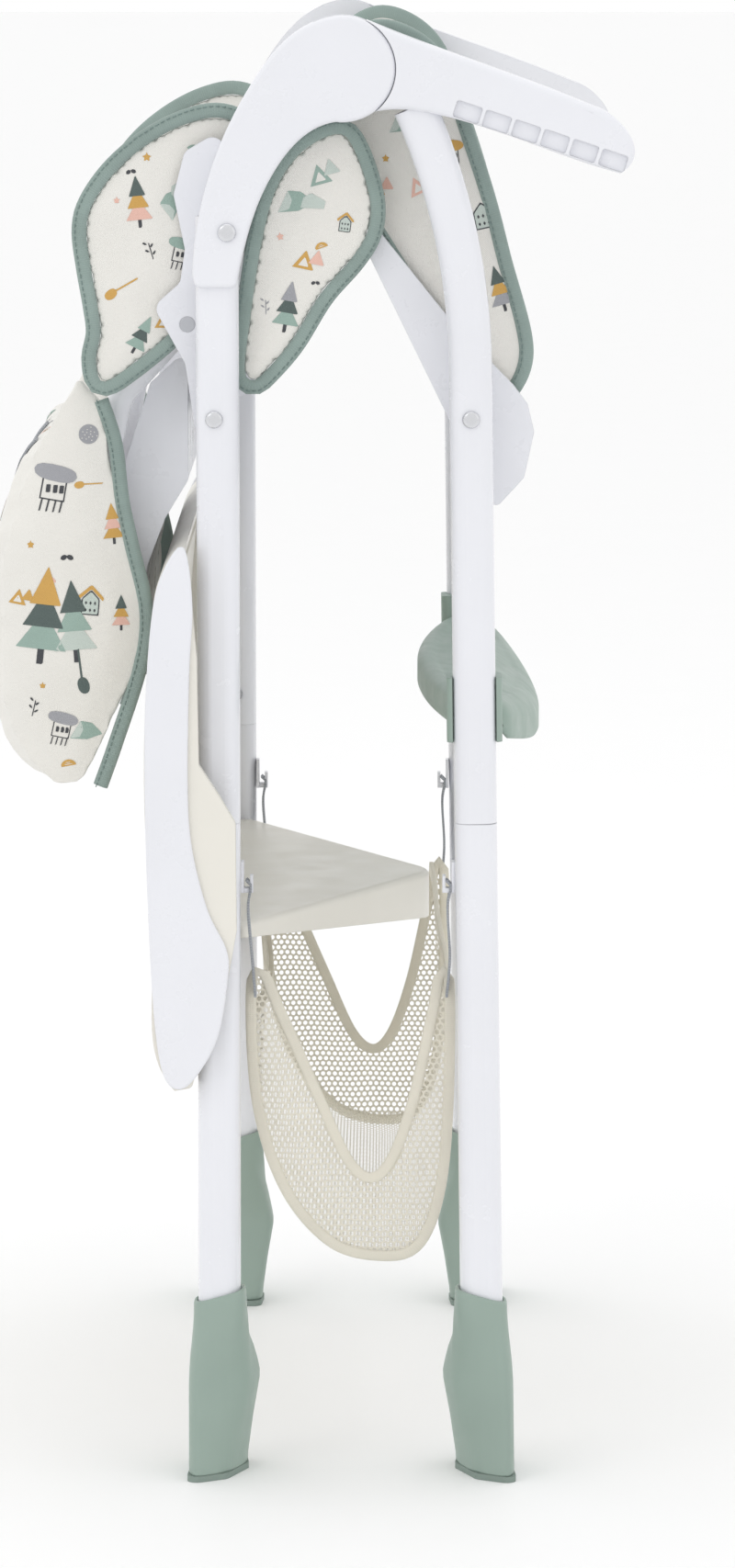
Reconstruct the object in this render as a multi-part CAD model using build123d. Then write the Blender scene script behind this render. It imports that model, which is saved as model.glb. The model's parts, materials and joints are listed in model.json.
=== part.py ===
"""Folded baby high chair: frame, seat, backrest, tray, footrest and basket, in millimetres.

+Z is up, +X is the chair's front, the left-right mirror plane is Y = 0, and the floor is Z = 0.
The chair stands folded: the front frame has swung back against the rear frame about the hubs,
the two seat halves stand up in an inverted V, and the backrest hangs down behind the rear legs.
"near" names the side at -Y and "far" its mirror image at +Y.
"""
from build123d import *
import math
import os

# ---- driving dimensions -------------------------------------------------------------------
HUB = (15.2, 891.5)              # fold axis, X and Z
REAR_PIVOT = (-65.2, 673.3)      # rear seat half on the rear legs
FRONT_PIVOT = (95.6, 673.3)      # front seat half on the front legs
HALF_LENGTH = 148.3              # seat half, from its pivot to the middle of the seat
LEG_X, LEG_Y, LEG_WALL = 27.0, 20.0, 1.2
LEG_MID_Y = 235.0                # centre of each leg above the joint, from the mirror plane
SPLAY = 20.0 / 290.0             # outward lean of the lower legs
JOINT_Z = 417.0                  # where the lower legs plug in
REAR_LEG_X = -63.2
FRONT_LEG_X = 99.2               # at the joint
FRONT_LEAN = 0.0135              # X gained per millimetre of fall in the front legs
FOOT_TOP, SOLE = 122.0, 4.0
LEG_LOW = 98.0                   # lower end of the legs, inside the feet
REAR_TOP = 800.0                 # upper end of the rear legs, inside the hub housings
BUTTON_REACH = 2.0               # how far a lock button stands out of its leg
SIDE_OUT, SIDE_IN = 250.0, 216.0  # outer and inner face of hubs and armrests
HUB_R = 33.0
PIN_R, PIN_GAP = 4.0, 0.05       # pivot pins and the running clearance round them
SEAT_HALF = 207.0                # half width of the front seat half with its side walls
SEAT_SIDE = 215.7                # outer face of the brackets on the rear seat half
CLEAR = 0.3                      # gap between faces that move past each other
BACK_HINGE = (-82.6, 730.8)      # backrest hinge, X and Z
TRAY_LOW, TRAY_HIGH = 246.0, 598.0
CROSS_Z = 350.0                  # front cross tube
SKIN = 3.0                       # wall of the moulded shells
SHIFT_X = 7.0                    # moves the drawing so that X = 0 is the middle of the folded chair

os.makedirs("parts", exist_ok=True)


def save(name, *solids):
    """Write one node; several solids stay separate inside it."""
    placed = [Pos(SHIFT_X, 0, 0) * solid for solid in solids]
    export_step(placed[0] if len(placed) == 1 else Compound(children=placed), f"parts/{name}.step")


def side_plate(outline, low_y, high_y):
    """A closed outline in X and Z, extruded between two Y positions."""
    face = make_face(outline) if not isinstance(outline, (Face, Sketch)) else outline
    return extrude(Plane.XZ.offset(-high_y) * face, amount=high_y - low_y)


def rounded(points, radius):
    """A closed outline through corner points, with rounded corners."""
    return FilletPolyline(*points, radius=radius, close=True)


def far(shape):
    """The same piece on the far side."""
    return mirror(shape, about=Plane.XZ)


def both(shape):
    return [shape, far(shape)]


def rod(radius, centre, low_y, high_y):
    """A round bar along Y at an X, Z centre."""
    return side_plate(Pos(*centre) * Circle(radius), low_y, high_y)


def polar(origin, direction, along, across):
    """A point given along a unit direction and across it, to its left."""
    dx, dz = direction
    return (origin[0] + along * dx - across * dz, origin[1] + along * dz + across * dx)


def tube_section(grow=0.0):
    """Oval leg section, smaller by grow on every side."""
    width, depth = LEG_X - 2 * grow, LEG_Y - 2 * grow
    return RectangleRounded(width, depth, depth / 2 - 0.4)


# ---- legs -----------------------------------------------------------------------------------
def straight_leg(low, high, grow=0.0):
    """Straight leg solid between two X, Y, Z points, cut level at both ends."""
    faces = [Pos(*end) * tube_section(grow) for end in (low, high)]
    return loft(faces)


def front_leg_x(z):
    return FRONT_LEG_X + (JOINT_Z - z) * FRONT_LEAN


def leg_y(z):
    return -LEG_MID_Y - max(JOINT_Z - z, 0.0) * SPLAY


def hollow_leg(low, high):
    return straight_leg(low, high) - straight_leg(low, high, LEG_WALL)


def lower_leg(x_at):
    """Lower leg with the reduced spigot that plugs into the upper leg."""
    ends = [(x_at(z), leg_y(z), z) for z in (LEG_LOW, JOINT_Z)]
    spigot_top = (x_at(JOINT_Z + 40), leg_y(JOINT_Z + 40), JOINT_Z + 40)
    spigot = straight_leg(ends[1], spigot_top, LEG_WALL + 0.1)
    spigot -= straight_leg(ends[1], spigot_top, 2 * LEG_WALL + 0.1)
    ring_low = (x_at(JOINT_Z - 8), leg_y(JOINT_Z - 8), JOINT_Z - 8)
    ring = straight_leg(ring_low, ends[1], LEG_WALL - 0.4)
    ring -= straight_leg(ring_low, ends[1], 2 * LEG_WALL + 0.1)
    return hollow_leg(*ends) + ring + spigot


BEND_Z, LEG_TOP = 705.0, (60.0, 868.0)


def front_bend():
    """Centre line of the front leg's long bend back towards the hub."""
    return TangentArc((front_leg_x(BEND_Z), BEND_Z), LEG_TOP, tangent=(-FRONT_LEAN, 1))


def front_upper_leg():
    """Straight from just above the joint, then the long bend."""
    low_z = JOINT_Z + 0.25
    start = (front_leg_x(low_z), low_z)
    route = Line(start, (front_leg_x(BEND_Z), BEND_Z)) + front_bend()
    path = Plane.XZ.offset(LEG_MID_Y) * route
    base = Plane((start[0], -LEG_MID_Y, low_z), x_dir=(1, 0, 0), z_dir=path.edges()[0] % 0)
    return sweep(base * tube_section(), path) - sweep(base * tube_section(LEG_WALL), path)


rear_leg = hollow_leg((REAR_LEG_X, -LEG_MID_Y, JOINT_Z), (REAR_LEG_X, -LEG_MID_Y, REAR_TOP))
front_leg = front_upper_leg()


def pivot_hole(centre):
    return rod(PIN_R, centre, -LEG_MID_Y - 20, -LEG_MID_Y + 20)


rear_leg -= pivot_hole(REAR_PIVOT)
front_leg -= pivot_hole(FRONT_PIVOT)


def lock_button(x):
    """Spring button that holds a lower leg in its upper leg, on the inner side."""
    return rod(4.0, (x, JOINT_Z + 22), -LEG_MID_Y + LEG_Y / 2 - 6, -LEG_MID_Y + LEG_Y / 2 + BUTTON_REACH)


legs = {
    "rear": (rear_leg, lower_leg(lambda z: REAR_LEG_X), REAR_LEG_X),
    "front": (front_leg, lower_leg(front_leg_x), FRONT_LEG_X),
}
for end, (upper, lower, x) in legs.items():
    button = lock_button(x)
    upper, lower = upper - button, lower - button
    save(f"{end}_leg_near", upper)
    save(f"{end}_leg_far", far(upper))
    save(f"{end}_lower_leg_near", lower)
    save(f"{end}_lower_leg_far", far(lower))
    save(f"{end}_leg_buttons", *both(button))


# ---- feet -----------------------------------------------------------------------------------
def foot_outline(lean, grow):
    """Foot section in plan about the leg: a wedge whose outer corner points sideways."""
    corners = [(21, -23), (-5, -9), (-18, 20), (-16, 46), (17, 44)]
    points = [(lean * (x + math.copysign(grow, x)), y + math.copysign(grow, y)) for x, y in corners]
    return make_face(FilletPolyline(*points, radius=6, close=True))


def foot(lean, x_at):
    """A boot round the leg end, wider at the floor; lean is the way its outer corner points."""
    low = Pos(x_at(0), leg_y(SOLE), SOLE) * foot_outline(lean, 0)
    top_section = Pos(x_at(FOOT_TOP), leg_y(FOOT_TOP), FOOT_TOP) * RectangleRounded(32, 26, 9)
    block = loft([low, Pos(x_at(60), leg_y(60), 60) * foot_outline(lean, -2.0)])
    neck = loft([Pos(x_at(60), leg_y(60), 60) * foot_outline(lean, -2.0), top_section])
    hole = straight_leg((x_at(LEG_LOW), leg_y(LEG_LOW), LEG_LOW),
                        (x_at(FOOT_TOP + 1), leg_y(FOOT_TOP + 1), FOOT_TOP + 1))
    return block + neck - hole


def sole(lean, x_at):
    return extrude(Pos(x_at(0), leg_y(SOLE), 0) * foot_outline(lean, 0), amount=SOLE)


for end, lean, x_at in (("rear", -1, lambda z: REAR_LEG_X), ("front", 1, front_leg_x)):
    boot = foot(lean, x_at)
    save(f"{end}_foot_near", boot)
    save(f"{end}_foot_far", far(boot))
    save(f"{end}_soles", *both(sole(lean, x_at)))


# ---- hubs and armrests ------------------------------------------------------------------------
EYE_OUT, EYE_IN = 238.0, 224.0    # the armrest's eye, held inside the hub housing


def soften(body, radius=4.0):
    """Round the outer rim of a moulding."""
    return fillet(body.edges().filter_by_position(Axis.Y, -SIDE_OUT, -SIDE_OUT), radius)


def hub_housing():
    """Round head over the fold axis with a curved neck down to the rear leg."""
    outer = Spline((-78.5, 764), (-74, 802), (-60, 847), (-41, 883), (-18, 911), (10, 924.1))
    inner = Spline((-49.6, 764), (-41.3, 797), (-26.9, 828.5), (-6, 852), (22, 859.2))
    foot_line = FilletPolyline((-78.5, 764), (-76.5, 756), (-51, 756), (-49.6, 764), radius=4)
    neck = make_face(outer + inner + foot_line + Line(outer @ 1, inner @ 1))
    body = soften(side_plate(neck, -SIDE_OUT, -SIDE_IN), 3.0)
    body += soften(rod(HUB_R, HUB, -SIDE_OUT, -SIDE_IN), 3.0)
    eye_room = rod(HUB_R + 1, HUB, -EYE_OUT - CLEAR, -EYE_IN + CLEAR)
    sweep_room = side_plate(Pos(HUB[0] + 40, HUB[1] - 5) * Rectangle(80, 90),
                            -EYE_OUT - CLEAR, -EYE_IN + CLEAR)
    leg_room = straight_leg((REAR_LEG_X, -LEG_MID_Y, 700), (REAR_LEG_X, -LEG_MID_Y, REAR_TOP))
    pin_room = rod(PIN_R, HUB, -SIDE_OUT + 4, -SIDE_IN + 1)
    button_room = rod(BUTTON_R + CLEAR, HUB, -SIDE_IN - 5, -SIDE_IN + 1)
    return body - eye_room - sweep_room - leg_room - pin_room - button_room


BUTTON_R = 14.0
ARM_TOP = ((30, 921.5), (88, 899.5), (145, 878.8), (172, 868))
ARM_LOW = ((188, 827), (122, 849.2), (80, 862), (47, 866.5), (28, 863))


def armrest():
    """Armrest with its eye on the fold axis, a socket for the front leg and the tray rack."""
    upper = Spline(*ARM_TOP)
    lower = Spline(*ARM_LOW)
    tip = Spline(ARM_TOP[-1], (190, 856), (197, 841), ARM_LOW[0])
    outline = make_face(upper + tip + lower + Line(ARM_LOW[-1], ARM_TOP[0]))
    body = soften(side_plate(outline, -SIDE_OUT, -SIDE_IN))
    body -= rod(HUB_R + CLEAR, HUB, -SIDE_OUT - 1, -SIDE_IN + 1)
    eye = rod(HUB_R - 3, HUB, -EYE_OUT, -EYE_IN)
    link = side_plate(make_face(Polyline((30, 868), (70, 872), (70, 900), (30, 914), close=True)),
                      -EYE_OUT, -EYE_IN)
    body = body + eye + link
    body -= rod(PIN_R + PIN_GAP, HUB, -SIDE_OUT, -SIDE_IN)
    for cell in rack_cells():
        body -= cell
    return body - leg_socket()


def rack_cells(count=6, depth=3.6, wall=2.4):
    """Shallow cells in a row along the armrest's lower outer edge, where the tray clicks in."""
    start, stop = (84, 868), (192.5, 832)
    length = math.dist(start, stop)
    tilt = math.degrees(math.atan2(stop[1] - start[1], stop[0] - start[0]))
    pitch = length / count
    for number in range(count):
        along = (number + 0.5) / count
        centre = (start[0] + along * (stop[0] - start[0]), start[1] + along * (stop[1] - start[1]))
        cell = Pos(*centre) * Rot(0, 0, tilt) * RectangleRounded(pitch - wall, 10.5, 1.5)
        yield side_plate(cell, -SIDE_OUT - 1, -SIDE_OUT + depth)


def leg_socket():
    """The room the front leg's upper end takes in the armrest."""
    path = Plane.XZ.offset(LEG_MID_Y) * front_bend()
    base = Plane((front_leg_x(BEND_Z), -LEG_MID_Y, BEND_Z), x_dir=(1, 0, 0), z_dir=path % 0)
    return sweep(base * tube_section(), path)


housing, arm = hub_housing(), armrest()
save("hub_housing_near", housing)
save("hub_housing_far", far(housing))
save("armrest_near", arm)
save("armrest_far", far(arm))
save("hub_pins", *both(rod(PIN_R, HUB, -SIDE_OUT + 4, -SIDE_IN - 5)))
for side, flip in (("near", lambda s: s), ("far", far)):
    save(f"fold_button_{side}", flip(rod(BUTTON_R, HUB, -SIDE_IN - 4.8 + 4, -SIDE_IN + 4)))


# ---- seat halves --------------------------------------------------------------------------------
MIDDLE = (HUB[0], REAR_PIVOT[1] + math.sqrt(HALF_LENGTH ** 2 - (HUB[0] - REAR_PIVOT[0]) ** 2))
TIP = HALF_LENGTH - 17            # each half stops short of the middle of the seat
BRACKET_IN = 210.2
CUSHION_HALF = 199.5


def seat_points(half, pairs):
    """Points along a seat half from its pivot, and up on the child's side of it."""
    pivot = FRONT_PIVOT if half == "front" else REAR_PIVOT
    sign = -1 if half == "front" else 1
    run = ((MIDDLE[0] - pivot[0]) / HALF_LENGTH, (MIDDLE[1] - pivot[1]) / HALF_LENGTH)
    return [polar(pivot, run, along, sign * up) for along, up in pairs]


WALL_IN = SEAT_HALF - 5.5


def front_pan():
    """Front seat half: a plate that curls down at its front edge."""
    plate = [(TIP, 3), (TIP, 7.5), (0, 1), (-40, -8), (-53, -16), (-54, -20.5), (-38, -13), (0, -3.5)]
    return side_plate(make_face(Polyline(*seat_points("front", plate), close=True)), -WALL_IN, WALL_IN)


def front_pan_wall():
    """Side wall of the front seat half, which carries its pivot."""
    wall = [(TIP, 2), (TIP, 14), (54, 22), (1, 33), (-14, 34), (-31, 28), (-52, 7), (-58, -16),
            (-55, -20), (5, -13)]
    body = side_plate(rounded(seat_points("front", wall), 4), -SEAT_HALF, -WALL_IN)
    return body - rod(PIN_R + PIN_GAP, FRONT_PIVOT, -SEAT_HALF - 1, -WALL_IN + 1)


def rear_pan():
    """Rear seat half, a ribbed plate bolted between the two brackets."""
    plate = [(TIP, 3), (TIP, 7.5), (0, 5), (-8, 4), (-8, 0), (4, -3.5)]
    body = side_plate(rounded(seat_points("rear", plate), 1), -BRACKET_IN, BRACKET_IN)
    for y in range(-160, 161, 80):
        rib = rounded(seat_points("rear", [(14, -9), (TIP - 40, -9), (TIP - 15, 4), (14, 4)]), 2)
        body += side_plate(rib, y - 2, y + 2)
    for low, high in ((-BRACKET_IN - 1, -BRACKET_IN + 6), (BRACKET_IN - 6, BRACKET_IN + 1)):
        body -= rod(PIN_R + 2, REAR_PIVOT, low, high)
    return body


def recline_bracket():
    """Side plate of the rear seat half, which carries its pivot and the backrest hinge."""
    outline = [(-62, 852), (-84, 839), (-91, 812), (-84, 778), (-87, 757), (-104, 742), (-84, 706),
               (-78, 664), (-56, 655), (-51.5, 668), (-51, 770), (-54, 825)]
    body = side_plate(rounded(outline, 8), -SEAT_SIDE, -BRACKET_IN)
    body -= rod(PIN_R + PIN_GAP, REAR_PIVOT, -SEAT_SIDE - 1, -BRACKET_IN + 1)
    return body - rod(HINGE_PIN_R, BACK_HINGE, -SEAT_SIDE - 1, -BRACKET_IN + 1)


def pivot_rivet(centre, inner_y):
    """Rivet with a domed cap on the outside of a leg, reaching in through the seat wall."""
    shank = rod(PIN_R, centre, -LEG_MID_Y - LEG_Y / 2, -inner_y)
    cap = rod(5.6, centre, -LEG_MID_Y - LEG_Y / 2 - 2.6, -LEG_MID_Y - LEG_Y / 2)
    dome = fillet(cap.edges().filter_by_position(Axis.Y, -LEG_MID_Y - 13, -LEG_MID_Y - 12), 2.4)
    return shank + dome


def seat_cushion(half, slab, wing, wing_low, wing_high):
    body = side_plate(rounded(seat_points(half, slab), 4), -wing_low, wing_low)
    for low, high in ((-wing_high, -wing_low), (wing_low, wing_high)):
        body += side_plate(rounded(wing, 6), low, high)
    return body


HINGE_PIN_R = 5.0
front_wing = seat_points("front", [(TIP, 8), (TIP, 98), (70, 74), (14, 55), (-6, 40), (-8, 12)])
rear_wing = seat_points("rear", [(TIP, 9), (TIP - 4, 118), (88, 132), (52, 131), (30, 112), (36, 66), (72, 40),
                                 (84, 9)])
save("front_seat_pan", front_pan())
save("front_seat_walls", *both(front_pan_wall()))
save("rear_seat_pan", rear_pan())
save("recline_bracket_near", recline_bracket())
save("recline_bracket_far", far(recline_bracket()))
save("front_pivot_rivets", *both(pivot_rivet(FRONT_PIVOT, WALL_IN + 0.5)))
save("rear_pivot_rivets", *both(pivot_rivet(REAR_PIVOT, BRACKET_IN - 1)))
slab = [(TIP - 2, 8), (TIP - 2, 24), (6, 24), (-40, 14), (-36, 0), (0, 8)]
save("front_seat_cushion", seat_cushion("front", slab, front_wing, CUSHION_HALF - 7, CUSHION_HALF))
slab = [(TIP - 2, 8), (TIP - 2, 24), (12, 24), (4, 18), (4, 8)]
save("rear_seat_cushion", seat_cushion("rear", slab, rear_wing, CUSHION_HALF + 1.5, CUSHION_HALF + 8))


def side_flap():
    """Leaf-shaped side flap of the seat cover, outside the rear seat half."""
    leaf = [(-49, 700), (-44, 740), (-38, 782), (-25, 812), (-8, 836), (8, 846), (26, 826), (33, 800), (22, 772),
            (2, 748), (-16, 720), (-36, 699)]
    return side_plate(rounded(leaf, 7), -222, -SEAT_SIDE + 4)


save("seat_side_flaps", *both(side_flap()))


def housing_rivet():
    centre = (-56.8, 790.3)
    cap = rod(6.0, centre, -SIDE_OUT - 2.8, -SIDE_OUT)
    return fillet(cap.edges().filter_by_position(Axis.Y, -SIDE_OUT - 3, -SIDE_OUT - 2), 2.5)


save("housing_rivets", *both(housing_rivet()))

# ---- harness ------------------------------------------------------------------------------------
WEB_HALF, WEB = 12.5, 2.0


def seat_strap(half, start, stop, low_y, high_y):
    band = seat_points(half, [(start, 24.2), (stop, 24.2), (stop, 24.2 + WEB), (start, 24.2 + WEB)])
    return side_plate(make_face(Polyline(*band, close=True)), low_y, high_y)


def buckle():
    outline = seat_points("front", [(78, 26.5), (122, 26.5), (122, 38), (78, 38)])
    body = side_plate(rounded(outline, 3), -24, 24)
    hole = seat_points("front", [(100, 38.5)])[0]
    return body - rod(2.2, hole, -9, 9)


save("crotch_strap", seat_strap("front", 66, 120, -WEB_HALF, WEB_HALF))
save("harness_buckle", buckle())
save("waist_straps", seat_strap("rear", 14, 118, 60, 60 + 2 * WEB_HALF),
     seat_strap("rear", 14, 118, -60 - 2 * WEB_HALF, -60))

# ---- backrest -----------------------------------------------------------------------------------
BACK_LEFT = ((-150, 699), (-189, 619), (-201.5, 520), (-190, 462), (-164, 431))
WING_EDGE = ((-148, 436), (-127, 480), (-107.5, 548), (-119, 605), (-133, 677))
COVER_IN, COVER_OUT = 187.0, 200.0
SHELL_HALF = 166.0


def back_cover():
    """Backrest cover: a padded slab on the child's side, with a wing on each side."""
    left, edge = Spline(*BACK_LEFT), Spline(*WING_EDGE)
    wing = make_face(left + edge + Line(left @ 1, edge @ 0) + Line(edge @ 1, left @ 0))
    front = Spline(*[(x - 7, z) for x, z in BACK_LEFT])
    slab = make_face(front + Pos(33, 0) * front + Line(front @ 0, (front @ 0).add(Vector(33, 0)))
                     + Line(front @ 1, (front @ 1).add(Vector(33, 0))))
    body = side_plate(slab, -COVER_IN, COVER_IN)
    body &= Pos(-160, 0, 545) * Box(140, 500, 216)
    for low, high in ((-COVER_OUT, -COVER_IN), (COVER_IN, COVER_OUT)):
        body += side_plate(wing, low, high)
    return body


def shoulder_strap():
    """Webbing that lies down the child's side of the backrest."""
    line = Spline(*[(x - 7.2, z) for x, z in BACK_LEFT])
    band = make_face(line + Pos(-WEB, 0) * line + Line(line @ 0, (line @ 0).add(Vector(-WEB, 0)))
                     + Line(line @ 1, (line @ 1).add(Vector(-WEB, 0))))
    strip = side_plate(band, -60 - WEB_HALF, -60 + WEB_HALF)
    return strip & (Pos(-180, 0, 580) * Box(140, 500, 140))


def back_shell():
    """White moulded back: a curved sheet with side walls, from the hinge to the head end."""
    edge = [(-84, 712), (-84, 628), (-99, 603), (-110, 574), (-115, 548), (-116, 512), (-130, 512),
            (-134, 560), (-124, 640), (-108, 690)]
    hollow = [(-95, 760), (-88, 704), (-88, 630), (-102, 606), (-113, 578), (-118.5, 548), (-119, 515),
              (-150, 515), (-150, 640), (-124, 720)]
    body = side_plate(rounded(edge, 5), -SHELL_HALF, SHELL_HALF)
    return body - side_plate(rounded(hollow, 4), -SHELL_HALF + SKIN, SHELL_HALF - SKIN)


def back_frame():
    """U-shaped tube: a leg from each hinge eye, joined across the head end."""
    side = -176
    points = [BACK_HINGE, (-127, 682), (-142, 610), (-149, 555), (-149, 480)]
    route = [(x, side, z) for x, z in points] + [(x, -side, z) for x, z in reversed(points)]
    path = FilletPolyline(*route, radius=[30, 120, 120, 40, 40, 120, 120, 30])
    start = Plane(route[0], z_dir=path.edges()[0] % 0)
    tube = sweep(start * Circle(8.0), path) - sweep(start * Circle(6.8), path)
    for y in (side, -side):
        tube += rod(12.0, BACK_HINGE, y - 9, y + 9)
    return tube - rod(HINGE_PIN_R + PIN_GAP, BACK_HINGE, -200, 200)


def hinge_pin():
    return rod(HINGE_PIN_R, BACK_HINGE, -SEAT_SIDE, -162)


HANDLE_LOW, HANDLE_TRAVEL = 487.0, 6.0
save("backrest_cover", back_cover())
save("backrest_shell", back_shell())
save("backrest_frame", back_frame())
save("backrest_hinge_pins", *both(hinge_pin()))
save("shoulder_straps", *both(shoulder_strap()))
handle = rounded([(-130, HANDLE_LOW), (-114, HANDLE_LOW), (-114, 505), (-130, 505)], 6)
save("recline_handle", side_plate(handle, -55, 55))

# ---- tray, hung behind the rear legs --------------------------------------------------------------
TRAY_BACK = -79.0
TRAY_FACE = ((-84, TRAY_HIGH - 6), (-97, 580), (-104, 550), (-108.5, 490), (-108.5, 410), (-105, 316),
             (-100, 264), (-91, TRAY_LOW + 4))
TRAY_ARM = ((-76, 525), (-75, 458), (-62, 438), (-52, 421), (-51.5, 352), (-58, 316), (-74, 275),
            (-80, TRAY_LOW + 6))
TRAY_WALL_IN = 259.0


def tray_slice(shift, low_z, high_z, half):
    """Everything in front of the tray's face moved by shift, within a height and a half width."""
    face = Spline(*[(x + shift, z) for x, z in TRAY_FACE])
    room = make_face(face + Polyline(face @ 1, (0, (face @ 1).Y), (0, (face @ 0).Y), face @ 0))
    return side_plate(room, -half, half) & Pos(-60, 0, (low_z + high_z) / 2) * Box(160, 700, high_z - low_z)


def tray():
    """Tray with a raised rim round its play surface and an arm down each side."""
    face = Spline(*TRAY_FACE)
    arm = FilletPolyline(face @ 0, (-79, 560), *TRAY_ARM, face @ 1, radius=4)
    half = TRAY_WALL_IN + 7
    body = side_plate(make_face(face + arm), -half, half)
    body -= tray_slice(SKIN, TRAY_LOW + SKIN + 4, TRAY_HIGH - SKIN - 6, TRAY_WALL_IN)
    body -= Pos(TRAY_BACK + 50, 0, 420) * Box(100, 2 * TRAY_WALL_IN, 500)
    rim_low, rim_high, rim_half = 284.0, 560.0, 222.0
    dish = tray_slice(0, rim_low, rim_high, rim_half) - tray_slice(12, rim_low, rim_high, rim_half)
    body += dish
    room = Pos(-160, 0, (rim_low + rim_high) / 2) * Box(
        200, 2 * (rim_half - SKIN), rim_high - rim_low - 2 * SKIN)
    return body - (room - tray_slice(9, rim_low - 5, rim_high + 5, rim_half + 5))


def tray_peg():
    """Peg on the back of a rear leg that the tray hangs on."""
    stem = Pos(REAR_LEG_X - LEG_X / 2 - 4.5, -LEG_MID_Y, 445) * Rot(0, 90, 0) * Cylinder(5, 9)
    head = Pos(REAR_LEG_X - LEG_X / 2 - 10.5, -LEG_MID_Y, 445) * Rot(0, 90, 0) * Cylinder(8, 3)
    return stem + head


save("tray", tray())
save("tray_pegs", *both(tray_peg()))

# ---- footrest -----------------------------------------------------------------------------------
FOOTREST_HALF = 212.0
CLIP_LOW, CLIP_HIGH = 469.0, 510.0


TREAD_LINE = ((52, 497), (90, 496), (118, 489), (152, 462))  # top of the board, in X and Z


def footrest_plan(inset):
    """The board from above, bowed behind and in front."""
    half = FOOTREST_HALF - inset
    rear = ThreePointArc((84 + inset, -half), (63 + inset, 0), (84 + inset, half))
    front = ThreePointArc((120 - inset, -half), (144 - inset, 0), (120 - inset, half))
    return make_face(rear + front + Line(rear @ 0, front @ 0) + Line(rear @ 1, front @ 1))


def below_tread(drop, deep):
    """Everything from drop below the tread line to deep below it."""
    top = Spline(*[(x, z - drop) for x, z in TREAD_LINE])
    low = Spline(*[(x, z - deep) for x, z in TREAD_LINE])
    face = make_face(top + low + Line(top @ 0, low @ 0) + Line(top @ 1, low @ 1))
    return side_plate(face, -FOOTREST_HALF - 1, FOOTREST_HALF + 1)


def footrest_board():
    """Bowed board that falls away to the front, with a skirt below it, open underneath."""
    body = extrude(Pos(0, 0, 400) * footrest_plan(0), amount=110) & below_tread(0, 23)
    return body - (extrude(Pos(0, 0, 400) * footrest_plan(SKIN), amount=110) & below_tread(SKIN, 40))


def footrest_clip():
    """Clip that slides on a front leg, round its inner side and both flanks."""
    up = Vector(-FRONT_LEAN, 0, 1).normalized()
    foot_of = (front_leg_x(CLIP_LOW), -LEG_MID_Y, CLIP_LOW)
    at = Plane(foot_of, x_dir=Vector(0, 1, 0).cross(up), z_dir=up)
    outer = Pos(0, 8) * RectangleRounded(LEG_X + 8, 28, 5)
    body = extrude(at * outer, amount=CLIP_HIGH - CLIP_LOW)
    body -= extrude(at.offset(-1) * tube_section(-CLEAR), amount=CLIP_HIGH - CLIP_LOW + 2)
    mouth = at.offset(-1) * (Pos(0, -10) * Rectangle(LEG_X + 2 * CLEAR, 14))
    body -= extrude(mouth, amount=CLIP_HIGH - CLIP_LOW + 2)
    neck = Pos(106, -FOOTREST_HALF - 0.75, 484) * Box(20, 1.5, 22)
    return body + neck


save("footrest_board", footrest_board())
save("footrest_clips", *both(footrest_clip()))

# ---- cross members and basket hardware -------------------------------------------------------------
BRACE_TOP, BRACE_DEEP, BRACE_END = 350.0, 31.0, 9.0  # top, and depth at the middle and at the legs


def brace_plan(inset):
    """The shelf from above: straight behind, with a rounded point to the front."""
    half = LEG_MID_Y - LEG_Y / 2 - inset
    front = FilletPolyline((-50, half), (76 - 2 * inset, 0), (-50, -half), radius=34)
    back = Polyline(front @ 1, (-70 + inset, -half), (-70 + inset, half), front @ 0)
    return make_face(front + back)


def rear_brace():
    """Moulded shelf that ties the rear legs together, with a skirt that is deepest at its point."""
    low, half = BRACE_TOP - BRACE_DEEP, LEG_MID_Y - LEG_Y / 2
    body = extrude(Pos(0, 0, low) * brace_plan(0), amount=BRACE_DEEP)
    body = fillet(body.edges().filter_by_position(Axis.Z, BRACE_TOP - 0.5, BRACE_TOP + 0.5).filter_by(
        lambda edge: edge.center().X > -45), 4)
    body -= extrude(Pos(0, 0, low - 1) * brace_plan(SKIN), amount=BRACE_DEEP + 1 - SKIN)
    rise = Polyline((0, low - 5), (12, low), (half + 1, BRACE_TOP - BRACE_END), (half + 1, low - 5),
                    close=True)
    wedge = extrude(Plane.YZ.offset(-100) * make_face(rise), amount=200)
    return body - wedge - mirror(wedge, about=Plane.XZ)


def hook(x, sign):
    """J hook on the face of a leg for one corner of the basket."""
    y = -232
    face_x = x + sign * LEG_X / 2
    base = Pos(face_x + sign * 1.2, y, 382) * Box(2.0, 9, 20)
    arm = Pos(face_x + sign * 4.5, y, 373.5) * Box(7.0, 7, 3)
    lip = Pos(face_x + sign * 7.0, y, 377.5) * Box(2.0, 7, 11)
    return base + arm + lip


LOOP_LOW = 316.0
BASKET = ((-41, LOOP_LOW), (-43, 240), (-26, 178), (6, 140), (40, 129), (64, 136), (79, 175), (84.5, 240),
          (82, LOOP_LOW))
BASKET_HALF, CLOTH = 226.0, 2.5


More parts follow.
